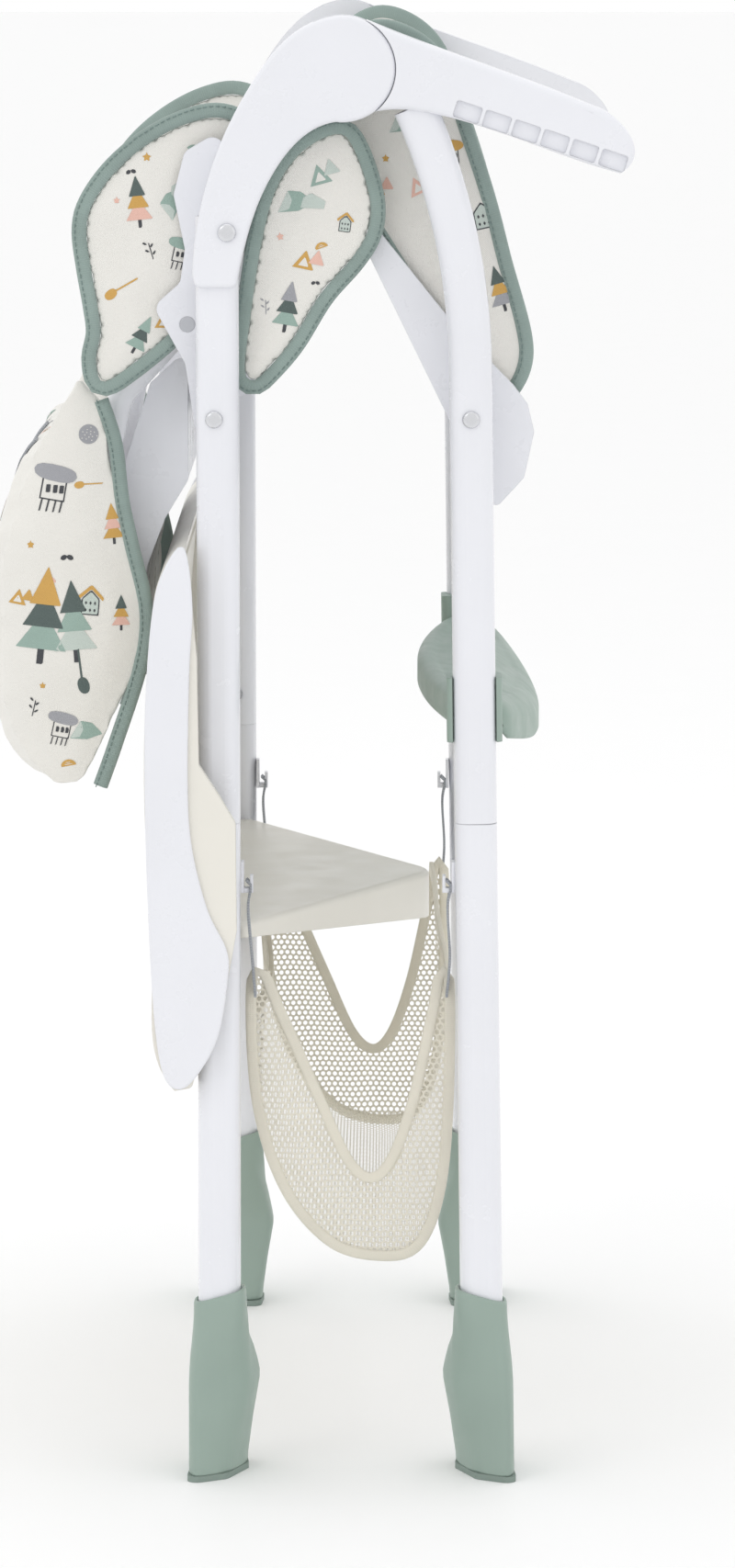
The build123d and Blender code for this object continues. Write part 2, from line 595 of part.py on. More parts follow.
def basket():
    """Open sling of mesh with a notched panel across each end."""
    outer = Spline(*BASKET)
    inner = Spline(*[(x + (25 - x) * CLOTH / 50, z + CLOTH * (z < 200)) for x, z in BASKET])
    outside = make_face(outer + Line(outer @ 0, outer @ 1))
    inside = make_face(inner + Line(inner @ 0, inner @ 1))
    body = side_plate(outside, -BASKET_HALF, BASKET_HALF)
    body -= side_plate(inside, -BASKET_HALF + CLOTH, BASKET_HALF - CLOTH)
    notch = rounded([(-26, LOOP_LOW + 5), (14, 186), (46, 186), (70, LOOP_LOW + 5)], 12)
    return body - side_plate(notch, -BASKET_HALF - 1, BASKET_HALF + 1)


def basket_loop(x):
    """Webbing from a basket corner up to its hook."""
    top = 371.7
    return Pos(x, -232, (LOOP_LOW + top) / 2) * Box(1.6, 9, top - LOOP_LOW)


save("rear_brace", rear_brace())
cross_half = LEG_MID_Y - LEG_Y / 2 + 3.9  # its ends enter the legs
save("front_cross_tube", rod(9.0, (front_leg_x(CROSS_Z), CROSS_Z), -cross_half, cross_half)
     - rod(7.8, (front_leg_x(CROSS_Z), CROSS_Z), -cross_half - 1, cross_half + 1))
save("rear_basket_hooks", *both(hook(REAR_LEG_X, 1)))
save("front_basket_hooks", *both(hook(front_leg_x(380), -1)))
save("basket", basket())
save("basket_loops", *both(basket_loop(REAR_LEG_X + 18.3)), *both(basket_loop(front_leg_x(380) - 18.3)))
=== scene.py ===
"""Folded baby high chair, dressed around its CAD frame.

Metres. +Z is up, +X is the chair's front, and near is the side at -Y. Outlines are in millimetres
from a pivot of the frame, along X and Z.
"""
import json
import math

import bmesh
import bpy
import numpy as np
from bpy.props import FloatProperty, FloatVectorProperty, IntProperty, PointerProperty
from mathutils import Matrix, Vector, noise
from mathutils.bvhtree import BVHTree
from mathutils.geometry import delaunay_2d_cdt

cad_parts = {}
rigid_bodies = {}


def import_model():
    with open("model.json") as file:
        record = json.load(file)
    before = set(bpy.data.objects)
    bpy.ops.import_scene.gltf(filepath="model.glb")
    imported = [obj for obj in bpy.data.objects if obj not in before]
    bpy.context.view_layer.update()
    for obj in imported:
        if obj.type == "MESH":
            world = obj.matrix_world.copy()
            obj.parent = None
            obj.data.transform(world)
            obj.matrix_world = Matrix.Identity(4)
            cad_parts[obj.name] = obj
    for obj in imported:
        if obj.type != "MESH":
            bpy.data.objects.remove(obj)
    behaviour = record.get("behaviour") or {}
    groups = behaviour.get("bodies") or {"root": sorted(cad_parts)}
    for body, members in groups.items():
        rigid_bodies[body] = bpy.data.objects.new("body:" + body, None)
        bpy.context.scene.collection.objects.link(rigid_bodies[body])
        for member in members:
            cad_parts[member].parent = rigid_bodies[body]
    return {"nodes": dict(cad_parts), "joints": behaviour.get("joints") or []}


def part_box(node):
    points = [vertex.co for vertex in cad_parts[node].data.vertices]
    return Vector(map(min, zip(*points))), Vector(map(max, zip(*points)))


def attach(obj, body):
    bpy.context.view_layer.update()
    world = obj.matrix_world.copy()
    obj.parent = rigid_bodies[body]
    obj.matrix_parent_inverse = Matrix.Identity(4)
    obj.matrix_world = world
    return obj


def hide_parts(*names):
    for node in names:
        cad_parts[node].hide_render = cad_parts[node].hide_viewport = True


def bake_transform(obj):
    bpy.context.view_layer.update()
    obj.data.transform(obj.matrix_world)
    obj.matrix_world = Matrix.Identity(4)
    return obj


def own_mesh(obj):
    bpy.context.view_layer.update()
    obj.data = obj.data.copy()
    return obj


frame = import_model()

bl_info = {
    "name": "Folding High Chair",
    "version": (1, 0, 0),
    "blender": (4, 5, 0),
    "location": "View3D > Sidebar > High Chair",
    "description": "Cloth, webbing, net and finishes for a folding high chair frame",
    "category": "Object",
}

for leftover in [o for o in bpy.data.objects if o.name in ("Cube", "Light", "Camera")]:
    bpy.data.objects.remove(leftover)
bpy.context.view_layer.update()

MM = 0.001
ORIGIN = np.array([7.0, 0.0])      # from the middle of the folded chair to the frame's X = 0


def joint_at(name):
    """X and Z of a hinge of the frame, in millimetres."""
    found = next(j for j in frame["joints"] if j["name"] == name)
    return np.array([found["pos_m"][0], found["pos_m"][2]]) / MM


HUB = joint_at("fold")
FRONT_PIVOT = joint_at("front_pan_fold")
REAR_PIVOT = joint_at("rear_pan_fold")
BACK_HINGE = joint_at("recline")
MIDDLE = np.array([HUB[0], REAR_PIVOT[1] + 124.6])    # where the two seat halves meet
FRONT_RUN = (MIDDLE - FRONT_PIVOT) / np.linalg.norm(MIDDLE - FRONT_PIVOT)
REAR_RUN = (MIDDLE - REAR_PIVOT) / np.linalg.norm(MIDDLE - REAR_PIVOT)


def front_point(along, up):
    """A point of the front seat half: along it from its pivot, and up on the child's side."""
    return FRONT_PIVOT + along * FRONT_RUN + up * np.array([FRONT_RUN[1], -FRONT_RUN[0]])


def rear_point(along, up):
    return REAR_PIVOT + along * REAR_RUN + up * np.array([-REAR_RUN[1], REAR_RUN[0]])


def tone(code):
    """Linear colour of a six-digit hex code."""
    channels = [int(code[i:i + 2], 16) / 255 for i in (0, 2, 4)]
    return tuple(c / 12.92 if c <= 0.04045 else ((c + 0.055) / 1.055) ** 2.4 for c in channels)


# ---- sizes and colours a user would change -----------------------------------------------------
def size_property(name, description, default):
    return FloatProperty(name=name, description=description, default=default, unit="LENGTH", precision=5)


def colour_property(name, description, code):
    return FloatVectorProperty(
        name=name, description=description, default=tone(code), subtype="COLOR", size=3, min=0, max=1)


class ChairSizes(bpy.types.PropertyGroup):
    """Sizes of the soft goods."""
    cloth_step: size_property("Cloth step", "Spacing of the points on a padded side panel", 0.0055)
    voxel: size_property("Voxel", "Voxel of the remeshed seat and back pads", 0.005)
    panel_cap: size_property("Panel swell", "How far a side panel may swell on each face", 0.0034)
    pad_cap: size_property("Pad swell", "How far a seat or back pad may swell", 0.006)
    binding_wide: size_property("Binding width", "Width of the tape folded over the cloth edges", 0.0095)
    binding_deep: size_property("Binding depth", "Thickness of the bound edge", 0.0062)
    stitch_pitch: size_property("Stitch pitch", "Distance from stitch to stitch", 0.0040)
    web_wide: size_property("Webbing width", "Width of the harness webbing", 0.025)
    web_deep: size_property("Webbing thickness", "Thickness of the harness webbing", 0.0018)
    net_pitch: size_property("Net pitch", "Distance from hole to hole in the basket net", 0.0042)
    pressure: FloatProperty(
        name="Air pressure", description="Pressure that swells the padded pieces", default=4.0, min=0.0)
    steps: IntProperty(
        name="Simulation steps", description="Frames the padded pieces are simulated for", default=20, min=2)


class ChairColours(bpy.types.PropertyGroup):
    """Colours of the finishes."""
    white: colour_property("White", "Painted tube and white mouldings", "e9eaef")
    cream: colour_property("Cream", "Tray and shelf mouldings", "e9e6dd")
    sage: colour_property("Sage", "Feet, footrest and buttons", "98aaa0")
    cloth: colour_property("Cloth", "Ground of the printed cloth", "ebe9e3")
    binding: colour_property("Binding", "Tape along the cloth edges", "96a8a2")
    webbing: colour_property("Webbing", "Harness and basket webbing", "a9adb3")
    net: colour_property("Net", "Basket net and its tape", "e6e1d2")
    stitch: colour_property("Stitch", "Sewing thread on the tape", "7d918d")


# ---- shader groups -----------------------------------------------------------------------------
def new_group(name, inputs, outputs):
    """A shader node group with its sockets, and functions that add a node and read the inputs."""
    group = bpy.data.node_groups.new(name, "ShaderNodeTree")
    for label, kind, value in inputs:
        socket = group.interface.new_socket(label, in_out="INPUT", socket_type=kind)
        socket.default_value = value
    for label, kind in outputs:
        group.interface.new_socket(label, in_out="OUTPUT", socket_type=kind)
    return group, group.nodes.new("NodeGroupInput"), group.nodes.new("NodeGroupOutput")


def add(tree, kind, settings=None, **links):
    """One node: settings are its properties, links its inputs by number (i0, i1) or by name."""
    node = tree.nodes.new(kind)
    for key, value in (settings or {}).items():
        setattr(node, key, value)
    for key, value in links.items():
        numbered = key[0] == "i" and key[1:].isdigit()
        socket = node.inputs[int(key[1:])] if numbered else node.inputs[key.replace("_", " ")]
        if isinstance(value, bpy.types.NodeSocket):
            tree.links.new(value, socket)
        else:
            socket.default_value = value
    return node


def calc(tree, operation, *values):
    """Output of a Math node."""
    links = {f"i{number}": value for number, value in enumerate(values)}
    return add(tree, "ShaderNodeMath", {"operation": operation}, **links).outputs[0]


def tint(tree, factor, low, high, kind="MIX"):
    """Output of a colour Mix node."""
    node = add(tree, "ShaderNodeMix", {"data_type": "RGBA", "blend_type": kind})
    for number, value in ((0, factor), (6, low), (7, high)):
        if isinstance(value, bpy.types.NodeSocket):
            tree.links.new(value, node.inputs[number])
        else:
            node.inputs[number].default_value = value
    return node.outputs[2]


def fine_noise(tree, place, scale, detail=2.0, roughness=0.5):
    node = add(tree, "ShaderNodeTexNoise", Vector=place, Detail=detail, Roughness=roughness)
    if isinstance(scale, bpy.types.NodeSocket):
        tree.links.new(scale, node.inputs["Scale"])
    else:
        node.inputs["Scale"].default_value = scale
    return node.outputs["Fac"]


def spread(tree, value, low, high, new_low=0.0, new_high=1.0):
    """A value stretched from one range to another, and held inside it."""
    return add(tree, "ShaderNodeMapRange", {"clamp": True}, i0=value, i1=low, i2=high,
               i3=new_low, i4=new_high).outputs[0]


def moulded_finish():
    """Moulding or paint: soft tone drift, rubbed patches, dust flecks and a fine grain."""
    group, given, out = new_group("Moulded finish", [
        ("Color", "NodeSocketColor", (1, 1, 1, 1)), ("Shade", "NodeSocketColor", (0.9, 0.9, 0.9, 1)),
        ("Drift", "NodeSocketFloat", 0.5), ("Grain scale", "NodeSocketFloat", 900.0),
        ("Grain depth", "NodeSocketFloat", 0.3), ("Smooth", "NodeSocketFloat", 0.25),
        ("Rubbed", "NodeSocketFloat", 0.45)],
        [("Color", "NodeSocketColor"), ("Roughness", "NodeSocketFloat"), ("Height", "NodeSocketFloat")])
    place = add(group, "ShaderNodeTexCoord").outputs["Object"]
    drift = spread(group, fine_noise(group, place, 9.0, 3.0, 0.6), 0.3, 0.7)
    drift = calc(group, "MULTIPLY", drift, given.outputs["Drift"])
    flecks = spread(group, fine_noise(group, place, 420.0, 2.0, 0.7), 0.68, 0.78, 0.0, 0.35)
    colour = tint(group, drift, given.outputs["Color"], given.outputs["Shade"])
    colour = tint(group, flecks, colour, given.outputs["Shade"])
    rub = spread(group, fine_noise(group, place, 38.0, 4.0, 0.65), 0.35, 0.7)
    rough = calc(group, "MULTIPLY_ADD", rub,
                 calc(group, "SUBTRACT", given.outputs["Rubbed"], given.outputs["Smooth"]),
                 given.outputs["Smooth"])
    grain = fine_noise(group, place, given.outputs["Grain scale"], 2.0, 0.6)
    swell = fine_noise(group, place, 55.0, 1.0)
    height = calc(group, "MULTIPLY_ADD", grain, given.outputs["Grain depth"],
                  calc(group, "MULTIPLY", swell, 0.35))
    group.links.new(colour, out.inputs["Color"])
    group.links.new(rough, out.inputs["Roughness"])
    group.links.new(height, out.inputs["Height"])
    return group


def plain_weave():
    """Plain weave on the two axes that a cloth face spans, with slubs, soft creases and painted shade in the
    thread valleys.
    """
    group, given, out = new_group("Plain weave", [
        ("Color", "NodeSocketColor", (1, 1, 1, 1)), ("Shade", "NodeSocketColor", (0.8, 0.8, 0.8, 1)),
        ("Threads", "NodeSocketFloat", 900.0), ("Thread depth", "NodeSocketFloat", 0.3),
        ("Crease depth", "NodeSocketFloat", 1.0)],
        [("Color", "NodeSocketColor"), ("Roughness", "NodeSocketFloat"), ("Height", "NodeSocketFloat")])
    place = add(group, "ShaderNodeTexCoord").outputs["Object"]
    facing = add(group, "ShaderNodeSeparateXYZ",
                 i0=add(group, "ShaderNodeTexCoord").outputs["Normal"]).outputs
    sideways = spread(group, calc(group, "ABSOLUTE", facing[1]), 0.55, 0.75)
    axes = add(group, "ShaderNodeSeparateXYZ", i0=place).outputs
    turns = calc(group, "MULTIPLY", given.outputs["Threads"], math.pi)
    waves = [calc(group, "SINE", calc(group, "MULTIPLY", axis, turns)) for axis in axes]
    across = calc(group, "ADD", calc(group, "MULTIPLY", waves[0], sideways),
                  calc(group, "MULTIPLY", waves[1], calc(group, "SUBTRACT", 1.0, sideways)))
    weave = calc(group, "MULTIPLY", across, waves[2])
    slub = fine_noise(group, place, 700.0, 2.0, 0.7)
    creases = fine_noise(group, add(group, "ShaderNodeMapping", i0=place, i3=(1.0, 1.0, 0.45)).outputs[0],
                         34.0, 3.0, 0.55)
    height = calc(group, "MULTIPLY_ADD", weave, given.outputs["Thread depth"],
                  calc(group, "MULTIPLY", slub, 0.25))
    height = calc(group, "MULTIPLY_ADD", creases, given.outputs["Crease depth"], height)
    worn = spread(group, fine_noise(group, place, 14.0, 4.0, 0.6), 0.35, 0.75, 0.0, 0.5)
    # Painted shade: the colour darkens in the valleys between the threads, where the weave is low; worn adds
    # random darker patches on top.
    dark = calc(group, "ADD", calc(group, "MULTIPLY", spread(group, weave, 1.0, -1.0), 0.35), worn)
    group.links.new(tint(group, dark, given.outputs["Color"], given.outputs["Shade"]), out.inputs["Color"])
    group.links.new(spread(group, slub, 0.3, 0.7, 0.72, 0.92), out.inputs["Roughness"])
    group.links.new(height, out.inputs["Height"])
    return group


def ribbed_tape():
    """Tape or webbing with ribs across it and painted shade in the grooves between them, on a UV map in
    metres: U along it, V across it.
    """
    group, given, out = new_group("Ribbed tape", [
        ("Color", "NodeSocketColor", (1, 1, 1, 1)), ("Shade", "NodeSocketColor", (0.8, 0.8, 0.8, 1)),
        ("Rib pitch", "NodeSocketFloat", 0.0014), ("Yarn pitch", "NodeSocketFloat", 0.0009)],
        [("Color", "NodeSocketColor"), ("Roughness", "NodeSocketFloat"), ("Height", "NodeSocketFloat")])
    chart = add(group, "ShaderNodeUVMap", {"uv_map": "run"}).outputs[0]
    u, v, _ = add(group, "ShaderNodeSeparateXYZ", i0=chart).outputs
    full_turn = 2 * math.pi
    rib_phase = calc(group, "MULTIPLY", calc(group, "DIVIDE", u, given.outputs["Rib pitch"]), full_turn)
    yarn_phase = calc(group, "MULTIPLY", calc(group, "DIVIDE", v, given.outputs["Yarn pitch"]), full_turn)
    slant = calc(group, "ADD", rib_phase, calc(group, "MULTIPLY", calc(group, "SINE", yarn_phase), 1.3))
    rib = spread(group, calc(group, "SINE", slant), -1.0, 1.0)
    yarn = spread(group, calc(group, "COSINE", yarn_phase), -1.0, 1.0)
    place = add(group, "ShaderNodeTexCoord").outputs["Object"]
    fuzz = fine_noise(group, place, 900.0, 2.0, 0.7)
    height = calc(group, "MULTIPLY_ADD", rib, 0.7, calc(group, "MULTIPLY_ADD", yarn, 0.3, fuzz))
    worn = spread(group, fine_noise(group, place, 30.0, 3.0, 0.6), 0.35, 0.75, 0.0, 0.5)
    # Painted shade: the colour darkens in the grooves between the ribs; worn adds random darker patches on
    # top.
    dark = calc(group, "MULTIPLY_ADD", calc(group, "SUBTRACT", 1.0, rib), 0.4, worn)
    group.links.new(tint(group, dark, given.outputs["Color"], given.outputs["Shade"]), out.inputs["Color"])
    group.links.new(spread(group, fuzz, 0.3, 0.7, 0.7, 0.92), out.inputs["Roughness"])
    group.links.new(height, out.inputs["Height"])
    return group


def honeycomb_net():
    """Knitted net with a round hole in each cell, on a UV map in metres."""
    group, given, out = new_group("Honeycomb net", [
        ("Pitch", "NodeSocketFloat", 0.0042), ("Hole", "NodeSocketFloat", 0.36)],
        [("Cover", "NodeSocketFloat"), ("Height", "NodeSocketFloat")])
    chart = add(group, "ShaderNodeUVMap", {"uv_map": "run"}).outputs[0]
    cell = (1.0, math.sqrt(3.0), 1.0)
    inverse = calc(group, "DIVIDE", 1.0, given.outputs["Pitch"])
    scaled = add(group, "ShaderNodeVectorMath", {"operation": "SCALE"}, i0=chart, Scale=inverse).outputs[0]
    reach = []
    for shift in ((0.0, 0.0, 0.0), (0.5, cell[1] / 2, 0.0)):
        moved = add(group, "ShaderNodeVectorMath", {"operation": "ADD"}, i0=scaled, i1=shift).outputs[0]
        share = add(group, "ShaderNodeVectorMath", {"operation": "DIVIDE"}, i0=moved, i1=cell).outputs[0]
        share = add(group, "ShaderNodeVectorMath", {"operation": "FRACTION"}, i0=share).outputs[0]
        share = add(group, "ShaderNodeVectorMath", {"operation": "SUBTRACT"}, i0=share,
                    i1=(0.5, 0.5, 0.0)).outputs[0]
        away = add(group, "ShaderNodeVectorMath", {"operation": "MULTIPLY"}, i0=share,
                   i1=(1.0, cell[1], 0.0)).outputs[0]
        length = add(group, "ShaderNodeVectorMath", {"operation": "LENGTH"}, i0=away)
        reach.append(length.outputs["Value"])
    nearest = calc(group, "MINIMUM", *reach)
    past = calc(group, "SUBTRACT", nearest, given.outputs["Hole"])
    group.links.new(spread(group, past, -0.02, 0.02), out.inputs["Cover"])
    group.links.new(spread(group, past, 0.0, 0.14), out.inputs["Height"])
    return group


# ---- materials ---------------------------------------------------------------------------------
def opaque(colour, factor=1.0):
    return tuple(channel * factor for channel in colour[:3]) + (1.0,)


def new_material(name, group, values, bump, **shader):
    """A material whose Principled shader takes colour, roughness and bump from one group."""
    material = bpy.data.materials.new(name)
    material.use_nodes = True
    tree = material.node_tree
    principled = tree.nodes["Principled BSDF"]
    for label, value in shader.items():
        principled.inputs[label.replace("_", " ")].default_value = value
    effect = add(tree, "ShaderNodeGroup", {"node_tree": group})
    for label, value in values.items():
        effect.inputs[label.replace("_", " ")].default_value = value
    strength, distance = bump
    relief = add(tree, "ShaderNodeBump", Strength=strength, Distance=distance,
                 Height=effect.outputs["Height"])
    for label in ("Color", "Roughness"):
        if label in effect.outputs:
            goal = "Base Color" if label == "Color" else label
            tree.links.new(effect.outputs[label], principled.inputs[goal])
    tree.links.new(relief.outputs[0], principled.inputs["Normal"])
    return material


def ease_edges(material, radius):
    """Rounds the look of sharp edges under the bump, by radius."""
    tree = material.node_tree
    relief = next(n for n in tree.nodes if n.bl_idname == "ShaderNodeBump")
    eased = add(tree, "ShaderNodeBevel", {"samples": 4}, Radius=radius)
    tree.links.new(eased.outputs[0], relief.inputs["Normal"])
    return material


def moulded(name, group, colour, smooth, rubbed, grain, drift=0.5, shade=0.93, radius=0.0009, **shader):
    values = {"Color": opaque(colour), "Shade": opaque(colour, shade), "Smooth": smooth,
              "Rubbed": rubbed, "Grain_scale": grain, "Drift": drift}
    return ease_edges(new_material(name, group, values, (0.22, 0.0004), **shader), radius)


FINISHES = {}


def build_finishes(colours, sizes):
    """Every material, by the name of the record's slot or of its use."""
    finish, weave, tape, net = moulded_finish(), plain_weave(), ribbed_tape(), honeycomb_net()
    made = FINISHES
    made["white_tube"] = moulded("white_tube_paint", finish, colours.white, 0.16, 0.3, 500.0,
                                 Coat_Weight=0.35, Coat_Roughness=0.08)
    made["white_plastic"] = moulded("white_moulding", finish, colours.white, 0.24, 0.42, 1300.0,
                                    Coat_Weight=0.12, Coat_Roughness=0.2)
    made["cream_plastic"] = moulded("cream_moulding", finish, colours.cream, 0.3, 0.48, 1300.0)
    made["sage_plastic"] = moulded("sage_moulding", finish, colours.sage, 0.38, 0.58, 1100.0,
                                   shade=0.88, drift=0.7)
    made["sole_rubber"] = moulded("sole_rubber_grip", finish, tone("87968e"), 0.6, 0.8, 700.0, shade=0.8)
    made["rivet_chrome"] = moulded("rivet_polished", finish, tone("d9dadd"), 0.08, 0.24, 900.0,
                                   Metallic=1.0)
    made["pin_steel"] = moulded("pin_turned_steel", finish, tone("b9bbc0"), 0.22, 0.4, 900.0,
                                Metallic=1.0)
    made["buckle_plastic"] = moulded("buckle_moulding", finish, tone("8d9297"), 0.3, 0.5, 1200.0)
    made["cover_fabric"] = new_material(
        "printed_cloth_ground", weave,
        {"Color": opaque(colours.cloth), "Shade": opaque(colours.cloth, 0.9), "Threads": 1500.0,
         "Crease_depth": 5.0}, (0.35, 0.0006), Sheen_Weight=0.25, Sheen_Roughness=0.5)
    made["binding"] = new_material(
        "binding_tape", tape, {"Color": opaque(colours.binding), "Shade": opaque(colours.binding, 0.72)},
        (0.4, 0.0003), Sheen_Weight=0.2, Sheen_Roughness=0.5)
    made["webbing"] = new_material(
        "harness_webbing", tape,
        {"Color": opaque(colours.webbing), "Shade": opaque(colours.webbing, 0.6), "Rib_pitch": 0.0018,
         "Yarn_pitch": 0.0026}, (0.6, 0.0005), Sheen_Weight=0.2, Sheen_Roughness=0.5)
    made["net_tape"] = new_material(
        "net_edge_tape", tape, {"Color": opaque(colours.net), "Shade": opaque(colours.net, 0.84)},
        (0.4, 0.0003), Sheen_Weight=0.2, Sheen_Roughness=0.5)
    made["thread"] = new_material(
        "sewing_thread", finish,
        {"Color": opaque(colours.stitch), "Shade": opaque(colours.stitch, 0.7), "Smooth": 0.6,
         "Rubbed": 0.8, "Grain_scale": 2500.0}, (0.5, 0.0002))
    made["ink"] = ink_material(weave)
    made["basket_mesh"] = net_material(weave, net, colours, sizes)
    return made


def ink_material(weave):
    """Printed ink: the layer's own colours, broken a little by the weave under it and by the weave's painted
    shade in the thread valleys.
    """
    material = new_material("printed_ink", weave, {
        "Color": (1, 1, 1, 1), "Shade": (0.82, 0.82, 0.82, 1), "Threads": 1500.0,
        "Crease_depth": 5.0}, (0.3, 0.0006))
    tree = material.node_tree
    principled = tree.nodes["Principled BSDF"]
    effect = next(n for n in tree.nodes if n.bl_idname == "ShaderNodeGroup")
    ink = add(tree, "ShaderNodeAttribute", {"attribute_name": "ink"})
    # The weave colour brings its painted shade in the thread valleys onto the ink.
    colour = tint(tree, 1.0, effect.outputs["Color"], ink.outputs["Color"], "MULTIPLY")
    tree.links.new(colour, principled.inputs["Base Color"])
    return material


def net_material(weave, net, colours, sizes):
    """Net of the basket: open cells through the sheet."""
    material = new_material("basket_honeycomb_net", weave, {
        "Color": opaque(colours.net), "Shade": opaque(colours.net, 0.86), "Threads": 2200.0},
        (0.4, 0.0004), Sheen_Weight=0.15)
    tree = material.node_tree
    principled = tree.nodes["Principled BSDF"]
    cells = add(tree, "ShaderNodeGroup", {"node_tree": net})
    cells.inputs["Pitch"].default_value = sizes.net_pitch
    relief = next(n for n in tree.nodes if n.bl_idname == "ShaderNodeBump")
    tree.links.new(cells.outputs["Height"], relief.inputs["Height"])
    tree.links.new(cells.outputs["Cover"], principled.inputs["Alpha"])
    return material


# ---- outlines and meshes -----------------------------------------------------------------------
PER_SPAN = 12


def smooth_line(points, closed=False):
    """A smooth line through its points, with PER_SPAN samples from each to the next."""
    dots = np.array(points, float)
    count = len(dots)
    share = np.linspace(0, 1, PER_SPAN, endpoint=False)[:, None]
    pieces = []
    for i in range(count if closed else count - 1):
        picks = [i - 1, i, i + 1, i + 2]
        picks = [k % count for k in picks] if closed else [min(max(k, 0), count - 1) for k in picks]
        a, b, c, d = dots[picks]
        pieces.append(0.5 * (2 * b + (c - a) * share + (2 * a - 5 * b + 4 * c - d) * share ** 2
                             + (3 * b - a - 3 * c + d) * share ** 3))
    if not closed:
        pieces.append(dots[-1:])
    return np.vstack(pieces)


def evenly(line, step, closed=False):
    """The same line with points an equal step apart."""
    whole = np.vstack([line, line[:1]]) if closed else line
    marks = np.concatenate([[0], np.cumsum(np.linalg.norm(np.diff(whole, axis=0), axis=1))])
    count = max(4, round(marks[-1] / step))
    wanted = np.linspace(0, marks[-1], count + 1)
    spaced = np.column_stack([np.interp(wanted, marks, whole[:, k]) for k in range(whole.shape[1])])
    return spaced[:-1] if closed else spaced


def length_of(line):
    return float(np.linalg.norm(np.diff(line, axis=0), axis=1).sum())


def edge_distance(points, loop):
    """Distance of each point from a closed outline."""
    best = np.full(len(points), 1e9)
    for a, b in zip(loop, np.roll(loop, -1, axis=0)):
        run = b - a
        share = np.clip(((points - a) @ run) / max(run @ run, 1e-12), 0, 1)
        best = np.minimum(best, np.linalg.norm(points - a - share[:, None] * run, axis=1))
    return best


def inside(points, loop):
    """True for each point inside a closed outline."""
    hit = np.zeros(len(points), bool)
    for (ax, ay), (bx, by) in zip(loop, np.roll(loop, -1, axis=0)):
        if ay == by:
            continue
        crosses = (ay > points[:, 1]) != (by > points[:, 1])
        hit ^= crosses & (points[:, 0] < (bx - ax) * (points[:, 1] - ay) / (by - ay) + ax)
    return hit


def fill_outline(loop, step):
    """Points and triangles over a closed outline, with the outline's own points first."""
    low, high = loop.min(axis=0), loop.max(axis=0)
    rows = np.arange(low[1], high[1], step * 0.866)
    dots = [(x + (number % 2) * step / 2, z) for number, z in enumerate(rows)
            for x in np.arange(low[0], high[0], step)]
    dots = np.array(dots) if dots else np.zeros((0, 2))
    if len(dots):
        dots = dots[inside(dots, loop)]
    if len(dots):
        dots = dots[edge_distance(dots, loop) > step * 0.55]
    everything = [Vector(p) for p in np.vstack([loop, dots])]
    made = delaunay_2d_cdt(everything, [], [list(range(len(loop)))], 1, 1e-7)
    return np.array([tuple(p) for p in made[0]]), [tuple(f) for f in made[2]]


def new_piece(name, mesh, finish):
    """An object at the origin with one finish and smooth faces."""
    piece = bpy.data.objects.new(name, mesh)
    bpy.context.scene.collection.objects.link(piece)
    mesh.materials.clear()
    mesh.materials.append(FINISHES[finish])
    mesh.polygons.foreach_set("use_smooth", [True] * len(mesh.polygons))
    return piece


def mesh_from(name, points, faces):
    mesh = bpy.data.meshes.new(name)
    mesh.from_pydata([tuple(p) for p in points], [], [tuple(f) for f in faces])
    mesh.update()
    return mesh


def ring_faces(rows, ring):
    """Faces of a closed form: rows of points round it, ring points in each, and its two caps."""
    faces = [(r * ring + k, r * ring + (k + 1) % ring, (r + 1) * ring + (k + 1) % ring,
              (r + 1) * ring + k) for r in range(rows - 1) for k in range(ring)]
    return faces + [tuple(range(ring)), tuple(range((rows - 1) * ring, rows * ring))]


def face_outwards(mesh):
    work = bmesh.new()
    work.from_mesh(mesh)
    bmesh.ops.recalc_face_normals(work, faces=work.faces)
    work.to_mesh(mesh)
    work.free()


def both_sides(mesh):
    """Adds the mirror image of a near piece on the far side."""
    work = bmesh.new()
    work.from_mesh(mesh)
    twin = bmesh.ops.duplicate(work, geom=work.verts[:] + work.edges[:] + work.faces[:])["geom"]
    fresh = [g for g in twin if isinstance(g, bmesh.types.BMVert)]
    for vert in fresh:
        vert.co.y = -vert.co.y
    bmesh.ops.reverse_faces(work, faces=[g for g in twin if isinstance(g, bmesh.types.BMFace)])
    work.to_mesh(mesh)
    work.free()


def spots(piece):
    """Coordinates of a piece's vertices."""
    flat = np.empty(len(piece.data.vertices) * 3)
    piece.data.vertices.foreach_get("co", flat)
    return flat.reshape(-1, 3)


def put_spots(piece, places):
    piece.data.vertices.foreach_set("co", places.ravel())
    piece.data.update()


def slopes(piece):
    """Normals of a piece's vertices."""
    flat = np.empty(len(piece.data.vertices) * 3)
    piece.data.vertex_normals.foreach_get("vector", flat)
    return flat.reshape(-1, 3)


def settle(piece):
    """Turns the piece's modifiers into its mesh."""
    depsgraph = bpy.context.evaluated_depsgraph_get()
    mesh = bpy.data.meshes.new_from_object(piece.evaluated_get(depsgraph))
    piece.modifiers.clear()
    piece.data = mesh
    mesh.polygons.foreach_set("use_smooth", [True] * len(mesh.polygons))
    return piece


def refine(piece, levels=1):
    rounding = piece.modifiers.new("rounding", "SUBSURF")
    rounding.levels = rounding.render_levels = levels
    return settle(piece)


